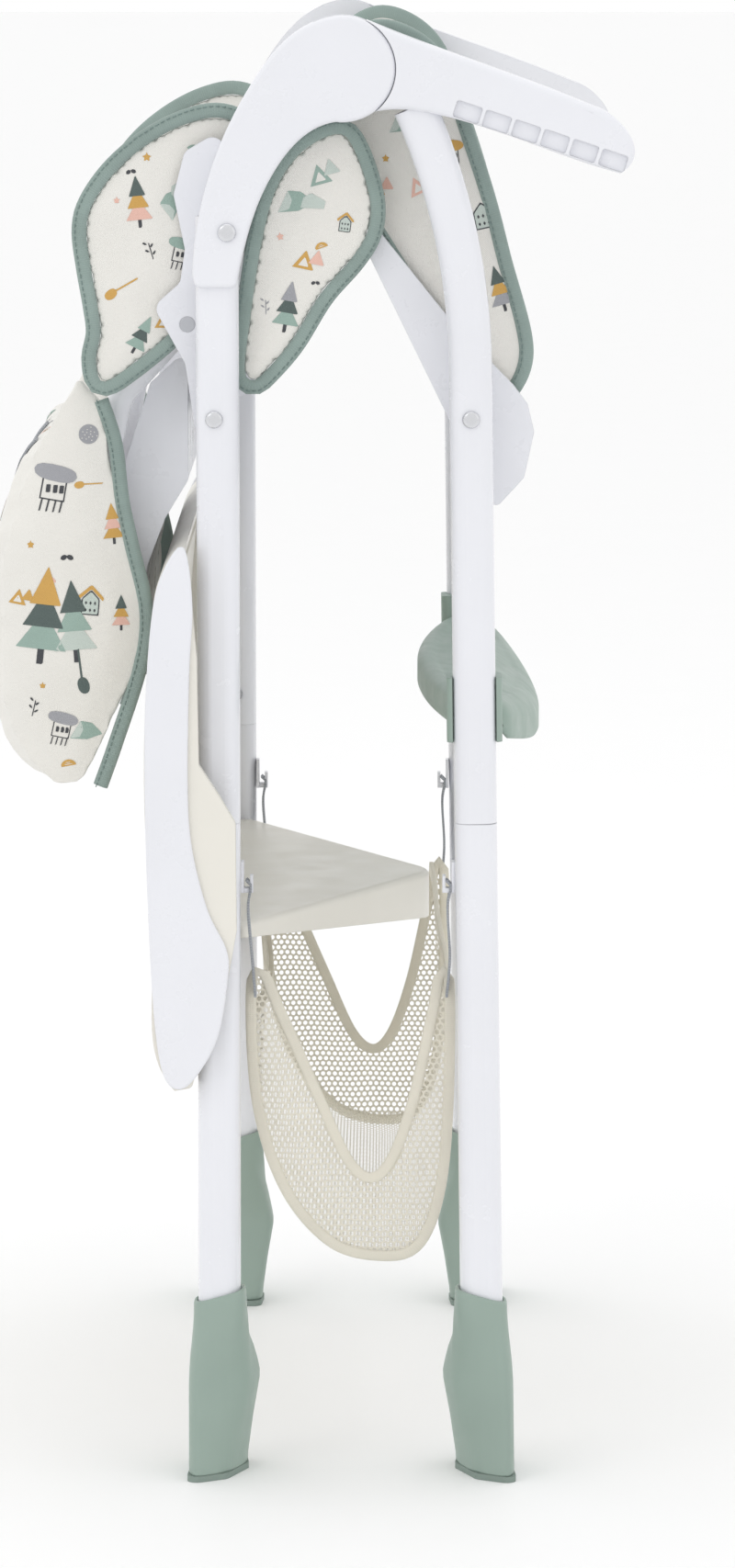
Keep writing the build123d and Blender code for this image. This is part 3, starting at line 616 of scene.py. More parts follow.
def inflate(piece, sizes, cap, rim=None):
    """Swells a closed piece by a short cloth simulation; each point moves by its cap at most."""
    start = spots(piece)
    scene = bpy.context.scene
    air = piece.modifiers.new("air", "CLOTH")
    air.settings.use_pressure = True
    air.settings.uniform_pressure_force = sizes.pressure
    air.settings.effector_weights.gravity = 0
    air.settings.quality = 4
    if rim is not None:
        group = piece.vertex_groups.new(name="rim")
        group.add([int(i) for i in rim], 1.0, "REPLACE")
        air.settings.vertex_group_mass = "rim"
    air.point_cache.frame_start = 1
    air.point_cache.frame_end = sizes.steps
    for number in range(1, sizes.steps + 1):
        scene.frame_set(number)
    depsgraph = bpy.context.evaluated_depsgraph_get()
    swollen = piece.evaluated_get(depsgraph)
    moved = np.empty(len(swollen.data.vertices) * 3)
    swollen.data.vertices.foreach_get("co", moved)
    piece.modifiers.clear()
    scene.frame_set(1)
    step = moved.reshape(-1, 3) - start
    far = np.linalg.norm(step, axis=1, keepdims=True)
    limit = np.reshape(np.broadcast_to(cap, len(start)), (-1, 1))
    put_spots(piece, start + step * np.minimum(1.0, limit / np.maximum(far, 1e-9)))


def crumple(piece, depth, grain, seed, stretch=(1.0, 1.0, 1.0), where=None):
    """Soft lumps and creases along the normals; where scales them point by point."""
    places, out = spots(piece), slopes(piece)
    lift = np.empty(len(places))
    for number, place in enumerate(places):
        at = Vector([place[k] * stretch[k] / grain for k in range(3)]) + Vector((seed, 2 * seed, 0))
        ridge = 1 - abs(noise.noise(at * 1.7)) * 2
        lift[number] = noise.noise(at) * 0.7 + ridge * 0.3
    if where is not None:
        lift *= where
    put_spots(piece, places + out * lift[:, None] * depth)


def away_from(places, path):
    """Distance of each point from a path, both seen from the side."""
    line = evenly(path * MM, 0.004)
    flat = places[:, [0, 2]]
    away = np.full(len(flat), np.inf)
    for start, end in zip(line[:-1], line[1:]):
        run = end - start
        share = np.clip(((flat - start) @ run) / (run @ run), 0, 1)
        away = np.minimum(away, np.linalg.norm(flat - start - share[:, None] * run, axis=1))
    return away


def pinch(piece, path, plane_y, reach, keep):
    """Thins both wings of a piece towards their middle plane, near an edge they are sewn along."""
    places = spots(piece)
    side = np.sign(places[:, 1])
    ease = np.clip(away_from(places, path) / reach, 0, 1)
    ease = keep + (1 - keep) * ease * ease * (3 - 2 * ease)
    wing = np.abs(places[:, 1]) > abs(plane_y) - 0.012
    middle = side * abs(plane_y)
    places[:, 1] = np.where(wing, middle + (places[:, 1] - middle) * ease, places[:, 1])
    put_spots(piece, places)


# ---- padded side panels ------------------------------------------------------------------------
def side_panel(name, loop, middle_y, sizes, seed, swell=1.0, start_half=0.0012, roll=0.012):
    """Padded panel in an X-Z plane: two layers that meet at a sewn rim, swollen between them."""
    outline = evenly(loop * MM, sizes.cloth_step, closed=True)
    points, triangles = fill_outline(outline, sizes.cloth_step)
    away = edge_distance(points, outline)
    rim = away < 1e-6
    rise = start_half * np.sqrt(1 - (1 - np.clip(away / roll, 0, 1)) ** 2)
    front = np.column_stack([points[:, 0], middle_y - rise, points[:, 1]])
    back_of = {i: i for i in np.flatnonzero(rim)}
    inner = np.flatnonzero(~rim)
    back_of.update({int(i): len(points) + k for k, i in enumerate(inner)})
    back = np.column_stack([points[inner, 0], middle_y + rise[inner], points[inner, 1]])
    faces = triangles + [tuple(back_of[i] for i in reversed(face)) for face in triangles]
    mesh = mesh_from(name, np.vstack([front, back]), faces)
    face_outwards(mesh)
    panel = new_piece(name, mesh, "cover_fabric")
    depth = np.concatenate([away, away[inner]])
    reach = np.clip(depth / (3 * roll), 0, 1)
    cap = sizes.panel_cap * swell * np.sqrt(1 - (1 - reach) ** 2)
    inflate(panel, sizes, cap, np.flatnonzero(rim))
    soft = np.clip(depth / roll, 0, 1)
    crumple(panel, 0.0022 * swell, 0.034, seed, (1.0, 1.0, 0.55), soft)
    crumple(panel, 0.0009 * swell, 0.013, seed + 5, (1.0, 1.0, 0.7), soft)
    return refine(panel)


def tape_along(name, path, plane_y, wide, deep, finish, closed=False, tuck=0.35, segments=14):
    """Tape folded over a cloth edge. The cloth lies to the left of the path, in an X-Z plane."""
    line = evenly(path * MM, 0.004, closed)
    count = len(line)
    ahead = np.roll(line, -1, axis=0) - np.roll(line, 1, axis=0)
    if not closed:
        ahead[0], ahead[-1] = line[1] - line[0], line[-1] - line[-2]
    ahead /= np.linalg.norm(ahead, axis=1, keepdims=True)
    inward = np.column_stack([-ahead[:, 1], ahead[:, 0]])
    points, charts = [], []
    marks = np.concatenate([[0], np.cumsum(np.linalg.norm(np.diff(line, axis=0), axis=1))])
    for number in range(count):
        pucker = 1 + 0.07 * noise.noise(Vector((marks[number] * 140, 0.3, plane_y * 9)))
        centre = line[number] + inward[number] * wide * tuck
        for k in range(segments):
            angle = 2 * math.pi * k / segments
            flat = math.copysign(abs(math.cos(angle)) ** 0.7, math.cos(angle))
            side = math.copysign(abs(math.sin(angle)) ** 0.6, math.sin(angle))
            spot = centre + inward[number] * flat * wide / 2
            thick = deep * pucker * (0.5 if flat < 0 else 0.5 - 0.12 * flat)
            points.append((spot[0], plane_y + side * thick, spot[1]))
            charts.append((marks[number], k / segments * 2 * (wide + deep)))
    faces = []
    for number in range(count if closed else count - 1):
        after = (number + 1) % count
        for k in range(segments):
            right = (k + 1) % segments
            faces.append((number * segments + k, number * segments + right,
                          after * segments + right, after * segments + k))
    if not closed:
        faces.append(tuple(range(segments)))
        faces.append(tuple(range((count - 1) * segments, count * segments)))
    mesh = mesh_from(name, points, faces)
    lay_chart(mesh, charts, 2 * (wide + deep), marks[-1] + 0.004 if closed else None)
    face_outwards(mesh)
    return new_piece(name, mesh, finish)


def lay_chart(mesh, charts, around=None, along=None):
    """UV map in metres from one U, V pair per vertex, mended where a face crosses the seam."""
    layer = mesh.uv_layers.new(name="run")
    for face in mesh.polygons:
        pairs = [charts[mesh.loops[i].vertex_index] for i in face.loop_indices]
        top_u, top_v = max(p[0] for p in pairs), max(p[1] for p in pairs)
        for i, (u, v) in zip(face.loop_indices, pairs):
            if around and top_v - v > around / 2:
                v += around
            if along and top_u - u > along / 2:
                u += along
            layer.data[i].uv = (u, v)


# ---- stitches ----------------------------------------------------------------------------------
def stitch_tree():
    """Stitches along an edge line: named sizes in, one mesh of small threads out."""
    tree = bpy.data.node_groups.new("Stitches along a seam", "GeometryNodeTree")
    face = tree.interface
    face.new_socket("Seam", in_out="INPUT", socket_type="NodeSocketGeometry")
    for label, value in (("Pitch", 0.004), ("Stitch length", 0.0026), ("Thread radius", 0.00035),
                         ("Wander", 0.00015)):
        socket = face.new_socket(label, in_out="INPUT", socket_type="NodeSocketFloat")
        socket.default_value, socket.subtype = value, "DISTANCE"
    face.new_socket("Thread", in_out="INPUT", socket_type="NodeSocketMaterial")
    face.new_socket("Stitches", in_out="OUTPUT", socket_type="NodeSocketGeometry")
    given, out = tree.nodes.new("NodeGroupInput"), tree.nodes.new("NodeGroupOutput")
    curve = add(tree, "GeometryNodeMeshToCurve", Mesh=given.outputs["Seam"])
    marks = add(tree, "GeometryNodeCurveToPoints", {"mode": "LENGTH"}, Curve=curve.outputs[0],
                Length=given.outputs["Pitch"])
    thread = add(tree, "GeometryNodeMeshCylinder", {"fill_type": "TRIANGLE_FAN"}, Vertices=6,
                 Radius=given.outputs["Thread radius"], Depth=given.outputs["Stitch length"])
    turn = add(tree, "FunctionNodeAlignRotationToVector", {"axis": "Z"}, Vector=marks.outputs["Tangent"])
    wander = add(tree, "FunctionNodeRandomValue", {"data_type": "FLOAT_VECTOR"}, Seed=11)
    wander.inputs["Min"].default_value = (-1, -1, -1)
    wander.inputs["Max"].default_value = (1, 1, 1)
    shift = add(tree, "ShaderNodeVectorMath", {"operation": "SCALE"}, i0=wander.outputs[0],
                Scale=given.outputs["Wander"])
    placed = add(tree, "GeometryNodeSetPosition", Geometry=marks.outputs["Points"],
                 Offset=shift.outputs[0])
    copies = add(tree, "GeometryNodeInstanceOnPoints", Points=placed.outputs[0],
                 Instance=thread.outputs["Mesh"], Rotation=turn.outputs[0])
    real = add(tree, "GeometryNodeRealizeInstances", Geometry=copies.outputs[0])
    dyed = add(tree, "GeometryNodeSetMaterial", Geometry=real.outputs[0],
               Material=given.outputs["Thread"])
    tree.links.new(dyed.outputs[0], out.inputs[0])
    return tree


def sew(name, seams, sizes):
    """One mesh of stitches along several lines of X, Y, Z points."""
    points, edges = [], []
    for seam in seams:
        first = len(points)
        points += [tuple(p) for p in seam]
        edges += [(i, i + 1) for i in range(first, len(points) - 1)]
    mesh = bpy.data.meshes.new(name)
    mesh.from_pydata(points, edges, [])
    piece = bpy.data.objects.new(name, mesh)
    bpy.context.scene.collection.objects.link(piece)
    tree = bpy.data.node_groups.get("Stitches along a seam") or stitch_tree()
    maker = piece.modifiers.new("stitches", "NODES")
    maker.node_group = tree
    chosen = {"Pitch": sizes.stitch_pitch, "Stitch length": sizes.stitch_pitch * 0.62,
              "Thread": FINISHES["thread"]}
    for socket in tree.interface.items_tree:
        if socket.in_out == "INPUT" and socket.name in chosen:
            maker[socket.identifier] = chosen[socket.name]
    return settle(piece)


def seam_beside(path, plane_y, sizes, closed=False, deep=None, tuck=0.35):
    """Stitch line along the inner edge of a binding, on its outer face."""
    line = evenly(path * MM, 0.004, closed)
    ahead = np.roll(line, -1, axis=0) - np.roll(line, 1, axis=0)
    if not closed:
        ahead[0], ahead[-1] = line[1] - line[0], line[-1] - line[-2]
    ahead /= np.linalg.norm(ahead, axis=1, keepdims=True)
    inward = np.column_stack([-ahead[:, 1], ahead[:, 0]])
    line = line + inward * sizes.binding_wide * (tuck + 0.27)
    if closed:
        line = np.vstack([line, line[:1]])
    rise = (deep or sizes.binding_deep) * 0.47
    return [np.column_stack([line[:, 0], np.full(len(line), plane_y - rise), line[:, 1]])]


# ---- printed motifs ----------------------------------------------------------------------------
INKS = {"sage": tone("9db5ab"), "deep": tone("5b6865"), "dark": tone("4a4c50"), "ochre": tone("d3a75c"),
        "pink": tone("ecc0b1"), "grey": tone("a5a6ab"), "pale": tone("c9d4cd"), "cloth": tone("ebe9e3")}


def blob(centre, width, height, turn=0.0, count=14, squareness=1.0):
    """Rounded patch."""
    spots_round = []
    for k in range(count):
        angle = 2 * math.pi * k / count
        x = math.copysign(abs(math.cos(angle)) ** squareness, math.cos(angle)) * width / 2
        z = math.copysign(abs(math.sin(angle)) ** squareness, math.sin(angle)) * height / 2
        spots_round.append((centre[0] + x * math.cos(turn) - z * math.sin(turn),
                            centre[1] + x * math.sin(turn) + z * math.cos(turn)))
    return spots_round


def stroke(start, stop, width):
    """Straight line of ink."""
    (ax, az), (bx, bz) = start, stop
    length = math.hypot(bx - ax, bz - az)
    nx, nz = -(bz - az) / length * width / 2, (bx - ax) / length * width / 2
    return [(ax + nx, az + nz), (ax - nx, az - nz), (bx - nx, bz - nz), (bx + nx, bz + nz)]


def triangle(x, z, width, height):
    return [(x - width / 2, z), (x + width / 2, z), (x, z + height)]


def fir(tones=("sage", "deep", "sage")):
    """Fir tree of stacked triangles on a short trunk."""
    shapes = [(stroke((0, 0), (0, 6), 2.2), "dark")]
    for number, ink in enumerate(tones):
        shapes.append((triangle(0, 5 + 7.5 * number, 17 - 3.2 * number, 13), ink))
    return shapes


def facets(tones=("ochre", "pink")):
    """Small cluster of triangles, one inside another."""
    return [(triangle(0, 0, 16, 14), tones[0]), (triangle(0, 2, 8, 7), "cloth"),
            (triangle(9, 5, 12, 11), tones[1])]


def stilt_house(roof="grey"):
    """Crooked little house on legs under a round roof."""
    shapes = [([(-6.6, 5.4), (6.2, 4.6), (7, 17), (-5.6, 18)], "dark"),
              ([(-5.8, 6.1), (5.5, 5.4), (6.2, 16.6), (-4.8, 17.3)], "cloth"),
              (blob((0.5, 19), 22, 8.5, -0.12, squareness=0.8), roof)]
    shapes += [(stroke((x, 5.5), (x - 1, -1), 0.8), "dark") for x in (-5, -1.5, 2, 5.2)]
    shapes += [([(x, 9), (x + 2.2, 8.9), (x + 2.3, 13), (x + 0.1, 13.1)], "dark") for x in (-3.6, 0, 3.2)]
    return shapes


def lean_house(roof="ochre"):
    """Gabled house with rows of windows."""
    shapes = [([(-6, 0), (6, 0), (6, 11), (0, 17), (-6, 11)], "dark"),
              ([(-5.2, 0.8), (5.2, 0.8), (5.2, 10.7), (0, 15.8), (-5.2, 10.7)], "pale"),
              ([(-8, 10), (0, 17.6), (8, 10), (9, 12), (0, 20.5), (-9, 12)], roof)]
    shapes += [(blob((x, z), 1.6, 2.6), "dark") for x in (-3, 0, 3) for z in (3.4, 8.2)]
    return shapes


def spoon(ink="deep"):
    """Long-handled spoon."""
    return [(blob((0, 0), 7.5, 11, squareness=0.9), ink), (stroke((0, 4), (3, 25), 1.3), ink)]


def star(ink="ochre"):
    return [([(math.sin(k * math.pi / 5) * (3.6 if k % 2 == 0 else 1.5),
               math.cos(k * math.pi / 5) * (3.6 if k % 2 == 0 else 1.5)) for k in range(10)], ink)]


def dome(ink="grey"):
    ring = [(math.cos(math.pi * k / 10) * 7, math.sin(math.pi * k / 10) * 6) for k in range(11)]
    return [(ring, ink), (stroke((-4, 1.6), (4, 1.6), 0.6), "cloth"),
            (stroke((-2.6, 3.2), (2.6, 3.2), 0.6), "cloth")]


def hills(ink="sage"):
    """Two leaf-shaped hills with a lit side."""
    return [([(-14, 0), (0, -1), (12, 3), (4, 12), (-5, 14)], ink),
            ([(-14, 0), (-5, 14), (-3, 7), (-6, 1)], "pale"),
            ([(2, 1), (18, -2), (20, 3), (11, 10), (5, 8)], "pale")]


def sprig(ink="dark"):
    """Twig with paired leaves."""
    shapes = [(stroke((0, 0), (0.8, 14), 0.8), ink)]
    for number, z in enumerate((4, 7, 10, 13)):
        side = -1 if number % 2 else 1
        shapes.append((blob((side * 2.4, z + 1), 4.4, 1.7, side * 0.7, 8), ink))
    return shapes


def speckled_ball(ink="grey"):
    shapes = [(blob((0, 0), 14, 14, 0, 18), ink)]
    for number in range(14):
        turn, reach = number * 2.4, 1.4 + 0.34 * number
        shapes.append((blob((math.cos(turn) * reach, math.sin(turn) * reach), 1.1, 1.1, 0, 6), "cloth"))
    return shapes


def seed_leaf(ink="dark"):
    """Pair of seed leaves."""
    return [(blob((-2, 0), 4.6, 3.4, 0.5, 10), ink), (blob((2, 0), 4.6, 3.4, -0.5, 10), ink)]


def print_on(name, surface, stamps, axis="y", mirrored=False):
    """Ink laid on a cloth surface. A stamp is motif, place in millimetres, size and turn in degrees.
    Axis is the way the ink is pressed on: along +Y on a near side, along +X on the child's face."""
    tree = BVHTree.FromPolygons([tuple(v.co) for v in surface.data.vertices],
                                [tuple(p.vertices) for p in surface.data.polygons])
    points, faces, inks = [], [], []
    for motif, place, size, degrees in stamps:
        turn = math.radians(degrees)
        for layer, (shape, ink) in enumerate(motif):
            loop = np.array(shape, float) * size
            loop = np.column_stack([loop[:, 0] * math.cos(turn) - loop[:, 1] * math.sin(turn),
                                    loop[:, 0] * math.sin(turn) + loop[:, 1] * math.cos(turn)])
            loop = evenly((loop + np.array(place)) * MM, 0.0016, closed=True)
            spread_points, triangles = fill_outline(loop, 0.003)
            landed = [press(tree, p, axis, (0.22 + 0.05 * layer) * MM) for p in spread_points]
            if any(p is None for p in landed):
                continue
            first = len(points)
            points += landed
            faces += [tuple(first + i for i in face) for face in triangles]
            inks += [INKS[ink]] * len(triangles)
    mesh = mesh_from(name, points, faces)
    layer = mesh.attributes.new("ink", "FLOAT_COLOR", "FACE")
    layer.data.foreach_set("color", [c for ink in inks for c in (*ink, 1.0)])
    toward = Vector((0, -1, 0)) if axis == "y" else Vector((-1, 0, 0))
    work = bmesh.new()
    work.from_mesh(mesh)
    bmesh.ops.reverse_faces(work, faces=[f for f in work.faces if f.normal.dot(toward) < 0])
    work.to_mesh(mesh)
    work.free()
    if mirrored:
        both_sides(mesh)
    return new_piece(name, mesh, "ink")


def press(tree, place, axis, lift):
    """The point of the surface under a place, raised by lift; None off the surface."""
    if axis == "y":
        start, way = Vector((place[0], -1.0, place[1])), Vector((0, 1, 0))
    else:
        start, way = Vector((-1.0, place[0], place[1])), Vector((1, 0, 0))
    hit, slope, _, _ = tree.ray_cast(start, way)
    return None if hit is None else tuple(hit + slope * lift)


# ---- operators ---------------------------------------------------------------------------------
class CHAIR_OT_finishes(bpy.types.Operator):
    """Give every part of the frame its finish"""
    bl_idname = "chair.finishes"
    bl_label = "Finishes"

    def execute(self, context):
        sizes = context.scene.chair_sizes
        colours = context.scene.chair_colours
        build_finishes(colours, sizes)
        for name, node in frame["nodes"].items():
            slot_name = node.data.materials[0].name.split(".")[0] if node.data.materials else ""
            if slot_name not in FINISHES:
                raise RuntimeError(f"{name} has no finish for its slot {slot_name}")
            for slot in node.material_slots:
                slot.link = "OBJECT"
                slot.material = FINISHES[slot_name]
        return {"FINISHED"}


def declare(piece, body, slot_name, *nodes):
    if nodes:
        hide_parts(*nodes)
    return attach(piece, body)


def bind_edges(name, paths, plane_y, sizes, body, closed=False, deep=None):
    """Binding tape and its stitches along near edges, mirrored to the far side."""
    tapes = [tape_along(f"{name}_{number}", path, plane_y, sizes.binding_wide,
                        deep or sizes.binding_deep, "binding", closed)
             for number, path in enumerate(paths)]
    tape = joined(f"{name}_binding", tapes)
    both_sides(tape.data)
    seams = [line for path in paths for line in seam_beside(path, plane_y, sizes, closed, deep)]
    threads = sew(f"{name}_stitches", seams, sizes)
    both_sides(threads.data)
    return [declare(tape, body, "cover_fabric"), declare(threads, body, "cover_fabric")]


def joined(name, pieces):
    """Several pieces as one."""
    work = bmesh.new()
    for piece in pieces:
        work.from_mesh(piece.data)
    first = pieces[0]
    mesh = bpy.data.meshes.new(name)
    work.to_mesh(mesh)
    work.free()
    for material in first.data.materials:
        mesh.materials.append(material)
    for piece in pieces:
        bpy.data.objects.remove(piece)
    result = bpy.data.objects.new(name, mesh)
    bpy.context.scene.collection.objects.link(result)
    return result


def cut_pad(name, node, half, sizes, cap, seed, depth=0.0016, held=None):
    """Pad from the middle of a CAD cushion: shrunk, remeshed, swollen and creased."""
    mesh = frame["nodes"][node].data.copy()
    work = bmesh.new()
    work.from_mesh(mesh)
    bmesh.ops.remove_doubles(work, verts=work.verts, dist=1e-5)
    if half:
        for side in (-1, 1):
            cut = bmesh.ops.bisect_plane(work, geom=work.verts[:] + work.edges[:] + work.faces[:],
                                         plane_co=(0, side * half, 0), plane_no=(0, side, 0),
                                         clear_outer=True)
            edges = [g for g in cut["geom_cut"] if isinstance(g, bmesh.types.BMEdge)]
            bmesh.ops.holes_fill(work, edges=edges)
    bmesh.ops.recalc_face_normals(work, faces=work.faces)
    work.to_mesh(mesh)
    work.free()
    pad = new_piece(name, mesh, "cover_fabric")
    remesh = pad.modifiers.new("even", "REMESH")
    remesh.mode, remesh.voxel_size = "VOXEL", sizes.voxel
    settle(pad)
    put_spots(pad, spots(pad) - slopes(pad) * 0.0022)
    if held is not None:
        cap = cap * (0.12 + 0.88 * np.clip(away_from(spots(pad), held) / 0.05, 0, 1))
    inflate(pad, sizes, cap)
    crumple(pad, depth, 0.038, seed, (1.0, 0.6, 1.0))
    return refine(pad)


FLAP_LOOP = smooth_line([(-2.2, -40), (-25.2, -50.5), (-42.2, -73.5), (-52.2, -108.5), (-59.2, -154.5),
                         (-63, -190), (-56, -197), (-47, -190), (-31.2, -171.5), (-13.2, -142.5),
                         (6.8, -119.5), (16.8, -102.5), (18.3, -82), (9, -52)], closed=True)
HEAD_LOOP = smooth_line([(-77.2, -30.5), (-100.2, -35), (-123.7, -47.5), (-144.2, -65), (-158.7, -85.5),
                         (-162.8, -102.5), (-160.2, -125.5), (-156.2, -149), (-154.2, -166.5),
                         (-157.2, -183.5), (-153.2, -198.5), (-138, -192), (-101.2, -160.5),
                         (-72, -118), (-55, -70), (-60, -40)], closed=True)
BACK_EDGE = smooth_line([(-152, -458), (-142, -430), (-126, -380), (-122.2, -343.5), (-131.2, -301.5),
                         (-137.2, -272.5), (-141.2, -237.5), (-150, -209)])
FRONT_LOOP = smooth_line([front_point(*p) - HUB for p in (
    (-6, 30), (-3, 12), (60, 10), (130, 10), (176, 12), (218, 28), (240, 54), (240, 82), (222, 100),
    (194.5, 107), (156.5, 99), (110, 87), (70, 74), (14, 55))], closed=True)


class CHAIR_OT_seat_sides(bpy.types.Operator):
    """Padded side panels of the seat cover, with their bindings and print"""
    bl_idname = "chair.seat_sides"
    bl_label = "Seat side panels"

    def execute(self, context):
        sizes = context.scene.chair_sizes
        self.flaps(sizes)
        self.head_sides(sizes)
        self.front_sides(sizes)
        return {"FINISHED"}

    def flaps(self, sizes):
        plane = -0.2168
        loop = FLAP_LOOP + HUB
        flap = side_panel("seat_side_flap_pair", loop, plane, sizes, 3, 1.1)
        stamps = [(facets(("sage", "pale")), (2, 819), 0.9, 15), (hills("sage"), (-13, 803), 0.9, 8),
                  (lean_house("ochre"), (16, 789), 0.62, -8), (star("pink"), (-24, 786), 0.8, 10),
                  (facets(("ochre", "pink")), (-10, 766), 0.85, -12), (fir(("sage", "deep", "grey")),
                  (-22, 726), 1.0, -10), (seed_leaf(), (-2, 757), 0.7, 0), (sprig("grey"),
                  (-33, 737), 0.7, 5),
                  (dome("ochre"), (2, 779), 0.6, 20)]
        ink = print_on("seat_side_flap_print", flap, shifted(stamps), mirrored=True)
        both_sides(flap.data)
        declare(flap, "rear_pan", "cover_fabric", "seat_side_flaps")
        declare(ink, "rear_pan", "cover_fabric")
        bind_edges("seat_side_flap", [loop[::-1]], plane, sizes, "rear_pan", closed=True)

    def head_sides(self, sizes):
        plane = -0.2045
        loop = HEAD_LOOP + HUB
        side = side_panel("rear_seat_side_pair", loop, plane, sizes, 7, 0.95)
        stamps = [(star(), (-108, 835), 0.9, 0), (fir(("pink", "ochre", "deep")), (-112, 791), 1.0, 6),
                  (hills(), (-88, 806), 0.8, 70), (stilt_house("sage"), (-88, 765), 0.85, -8),
                  (spoon("ochre"), (-131, 749), 0.8, -52), (sprig(), (-104, 771), 0.8, 20),
                  (fir(("sage", "deep", "sage")), (-118, 712), 0.8, -28), (star("pink"),
                  (-127, 808), 0.7, 0),
                  (seed_leaf(), (-118, 826), 0.8, 10), (facets(("ochre", "pink")), (-98, 728), 0.7, 0),
                  (dome("sage"), (-78, 838), 0.8, -30)]
        ink = print_on("rear_seat_side_print", side, shifted(stamps), mirrored=True)
        both_sides(side.data)
        declare(side, "rear_pan", "cover_fabric")
        declare(ink, "rear_pan", "cover_fabric")
        bind_edges("rear_seat_side", [loop[::-1]], plane, sizes, "rear_pan", closed=True)

    def front_sides(self, sizes):
        plane = -0.1962
        loop = FRONT_LOOP + HUB
        side = side_panel("front_seat_side_pair", loop, plane, sizes, 12, 1.0)
        stamps = [(lean_house("grey"), (105, 790), 1.0, 12), (facets(("pink", "ochre")),
                  (64, 812), 0.8, 25),
                  (stilt_house("ochre"), (84, 826), 0.85, 10), (fir(("grey", "ochre", "deep")),
                  (118, 738), 0.9, 16),
                  (sprig(), (98, 842), 0.8, 0), (hills("sage"), (54, 852), 0.7, 10), (star(),
                  (42, 834), 0.8, 0),
                  (facets(("ochre", "pink")), (36, 811), 0.75, 0), (star("pink"), (94, 766), 0.8, 0)]
        ink = print_on("front_seat_side_print", side, shifted(stamps), mirrored=True)
        both_sides(side.data)
        pieces = [side, ink]
        path = loop[::-1]
        tape = tape_along("front_seat_side_binding", path, plane, sizes.binding_wide, sizes.binding_deep,
                          "binding", closed=True)
        both_sides(tape.data)
        threads = sew("front_seat_side_stitches", seam_beside(path, plane, sizes, closed=True), sizes)
        both_sides(threads.data)
        pieces += [tape, threads]
        for piece in pieces:
            declare(piece, "front_pan", "cover_fabric")
            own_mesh(piece)


def shifted(stamps):
    """Stamps placed in the chair's own frame, whose X = 0 is the middle of the folded chair."""
    return [(motif, (x + ORIGIN[0], z), size, turn) for motif, (x, z), size, turn in stamps]


class CHAIR_OT_seat_pads(bpy.types.Operator):
    """Seat pads of the two seat halves"""
    bl_idname = "chair.seat_pads"
    bl_label = "Seat pads"

    def execute(self, context):
        sizes = context.scene.chair_sizes
        front = cut_pad("front_seat_pad", "front_seat_cushion", 0.191, sizes, 0.0045, 21)
        declare(front, "front_pan", "cover_fabric", "front_seat_cushion")
        rear = cut_pad("rear_seat_pad", "rear_seat_cushion", 0.199, sizes, 0.0045, 25)
        declare(rear, "rear_pan", "cover_fabric", "rear_seat_cushion")
        return {"FINISHED"}


BACK_BINDING = 0.0085        # thickness of the backrest's bound edge
BACK_PLANE = 0.1945          # middle plane of the backrest cover's wings, from the mirror plane


class CHAIR_OT_back_cover(bpy.types.Operator):
    """Backrest cover with its wings, binding and print"""
    bl_idname = "chair.back_cover"
    bl_label = "Backrest cover"

    def execute(self, context):
        sizes = context.scene.chair_sizes
        edge = BACK_EDGE + HUB
        cover = cut_pad("backrest_padded_cover", "backrest_cover", 0, sizes, 0.0052, 31, 0.0022, edge)
        pinch(cover, edge, BACK_PLANE, 0.03, 0.3)
        stamps = [(facets(("ochre", "pink")), (-178, 676), 0.8, 20), (speckled_ball(), (-146, 660), 0.9, 0),
                  (stilt_house("grey"), (-170, 612), 1.25, -6), (spoon("ochre"), (-152, 628), 0.6, -80),
                  (fir(("ochre", "pink", "ochre")), (-130, 590), 0.8, 5), (star(), (-183, 590), 0.8, 0),
                  (seed_leaf(), (-160, 582), 1.0, 0), (fir(("sage", "deep", "ochre")),
                  (-178, 514), 1.9, -6),
                  (fir(("pale", "sage", "deep")), (-154, 515), 1.6, 4), (lean_house("ochre"),
                  (-146, 545), 0.95, -5),
                  (spoon("deep"), (-150, 500), 1.0, 15), (facets(("ochre", "ochre")),
                  (-192, 552), 0.7, -10),
                  (dome("pink"), (-172, 566), 0.7, 0), (stilt_house("grey"), (-166, 462), 0.9, -8),
                  (sprig(), (-183, 480), 0.8, -10), (star(), (-176, 500), 0.7, 0), (hills("sage"),
                  (-148, 466), 0.8, 0),
                  (fir(("pink", "ochre", "deep")), (-126, 535), 0.7, 0), (dome("ochre"),
                  (-160, 448), 0.7, 10)]
        side_ink = print_on("backrest_side_print", cover, shifted(stamps), mirrored=True)
        motifs = (fir(), stilt_house("grey"), facets(), spoon("ochre"), lean_house("ochre"), star(),
                  hills(), speckled_ball(), fir(("pink", "ochre", "deep")), dome("sage"), sprig())
        face = []
        for row, z in enumerate(range(465, 645, 34)):
            for column, y in enumerate(range(-165, 166, 33)):
                pick = (row * 4 + column * 3) % len(motifs)
                sway = 8 * noise.noise(Vector((row * 1.3, column * 1.7, 4.0)))
                face.append((motifs[pick], (-(y + sway), z + sway), 1.0, 3 * sway))
        face_ink = print_on("backrest_face_print", cover, face, axis="x")
        declare(cover, "backrest", "cover_fabric", "backrest_cover")
        declare(side_ink, "backrest", "cover_fabric")
        declare(face_ink, "backrest", "cover_fabric")
        bind_edges("backrest", [edge], -BACK_PLANE, sizes, "backrest", deep=BACK_BINDING)
        return {"FINISHED"}


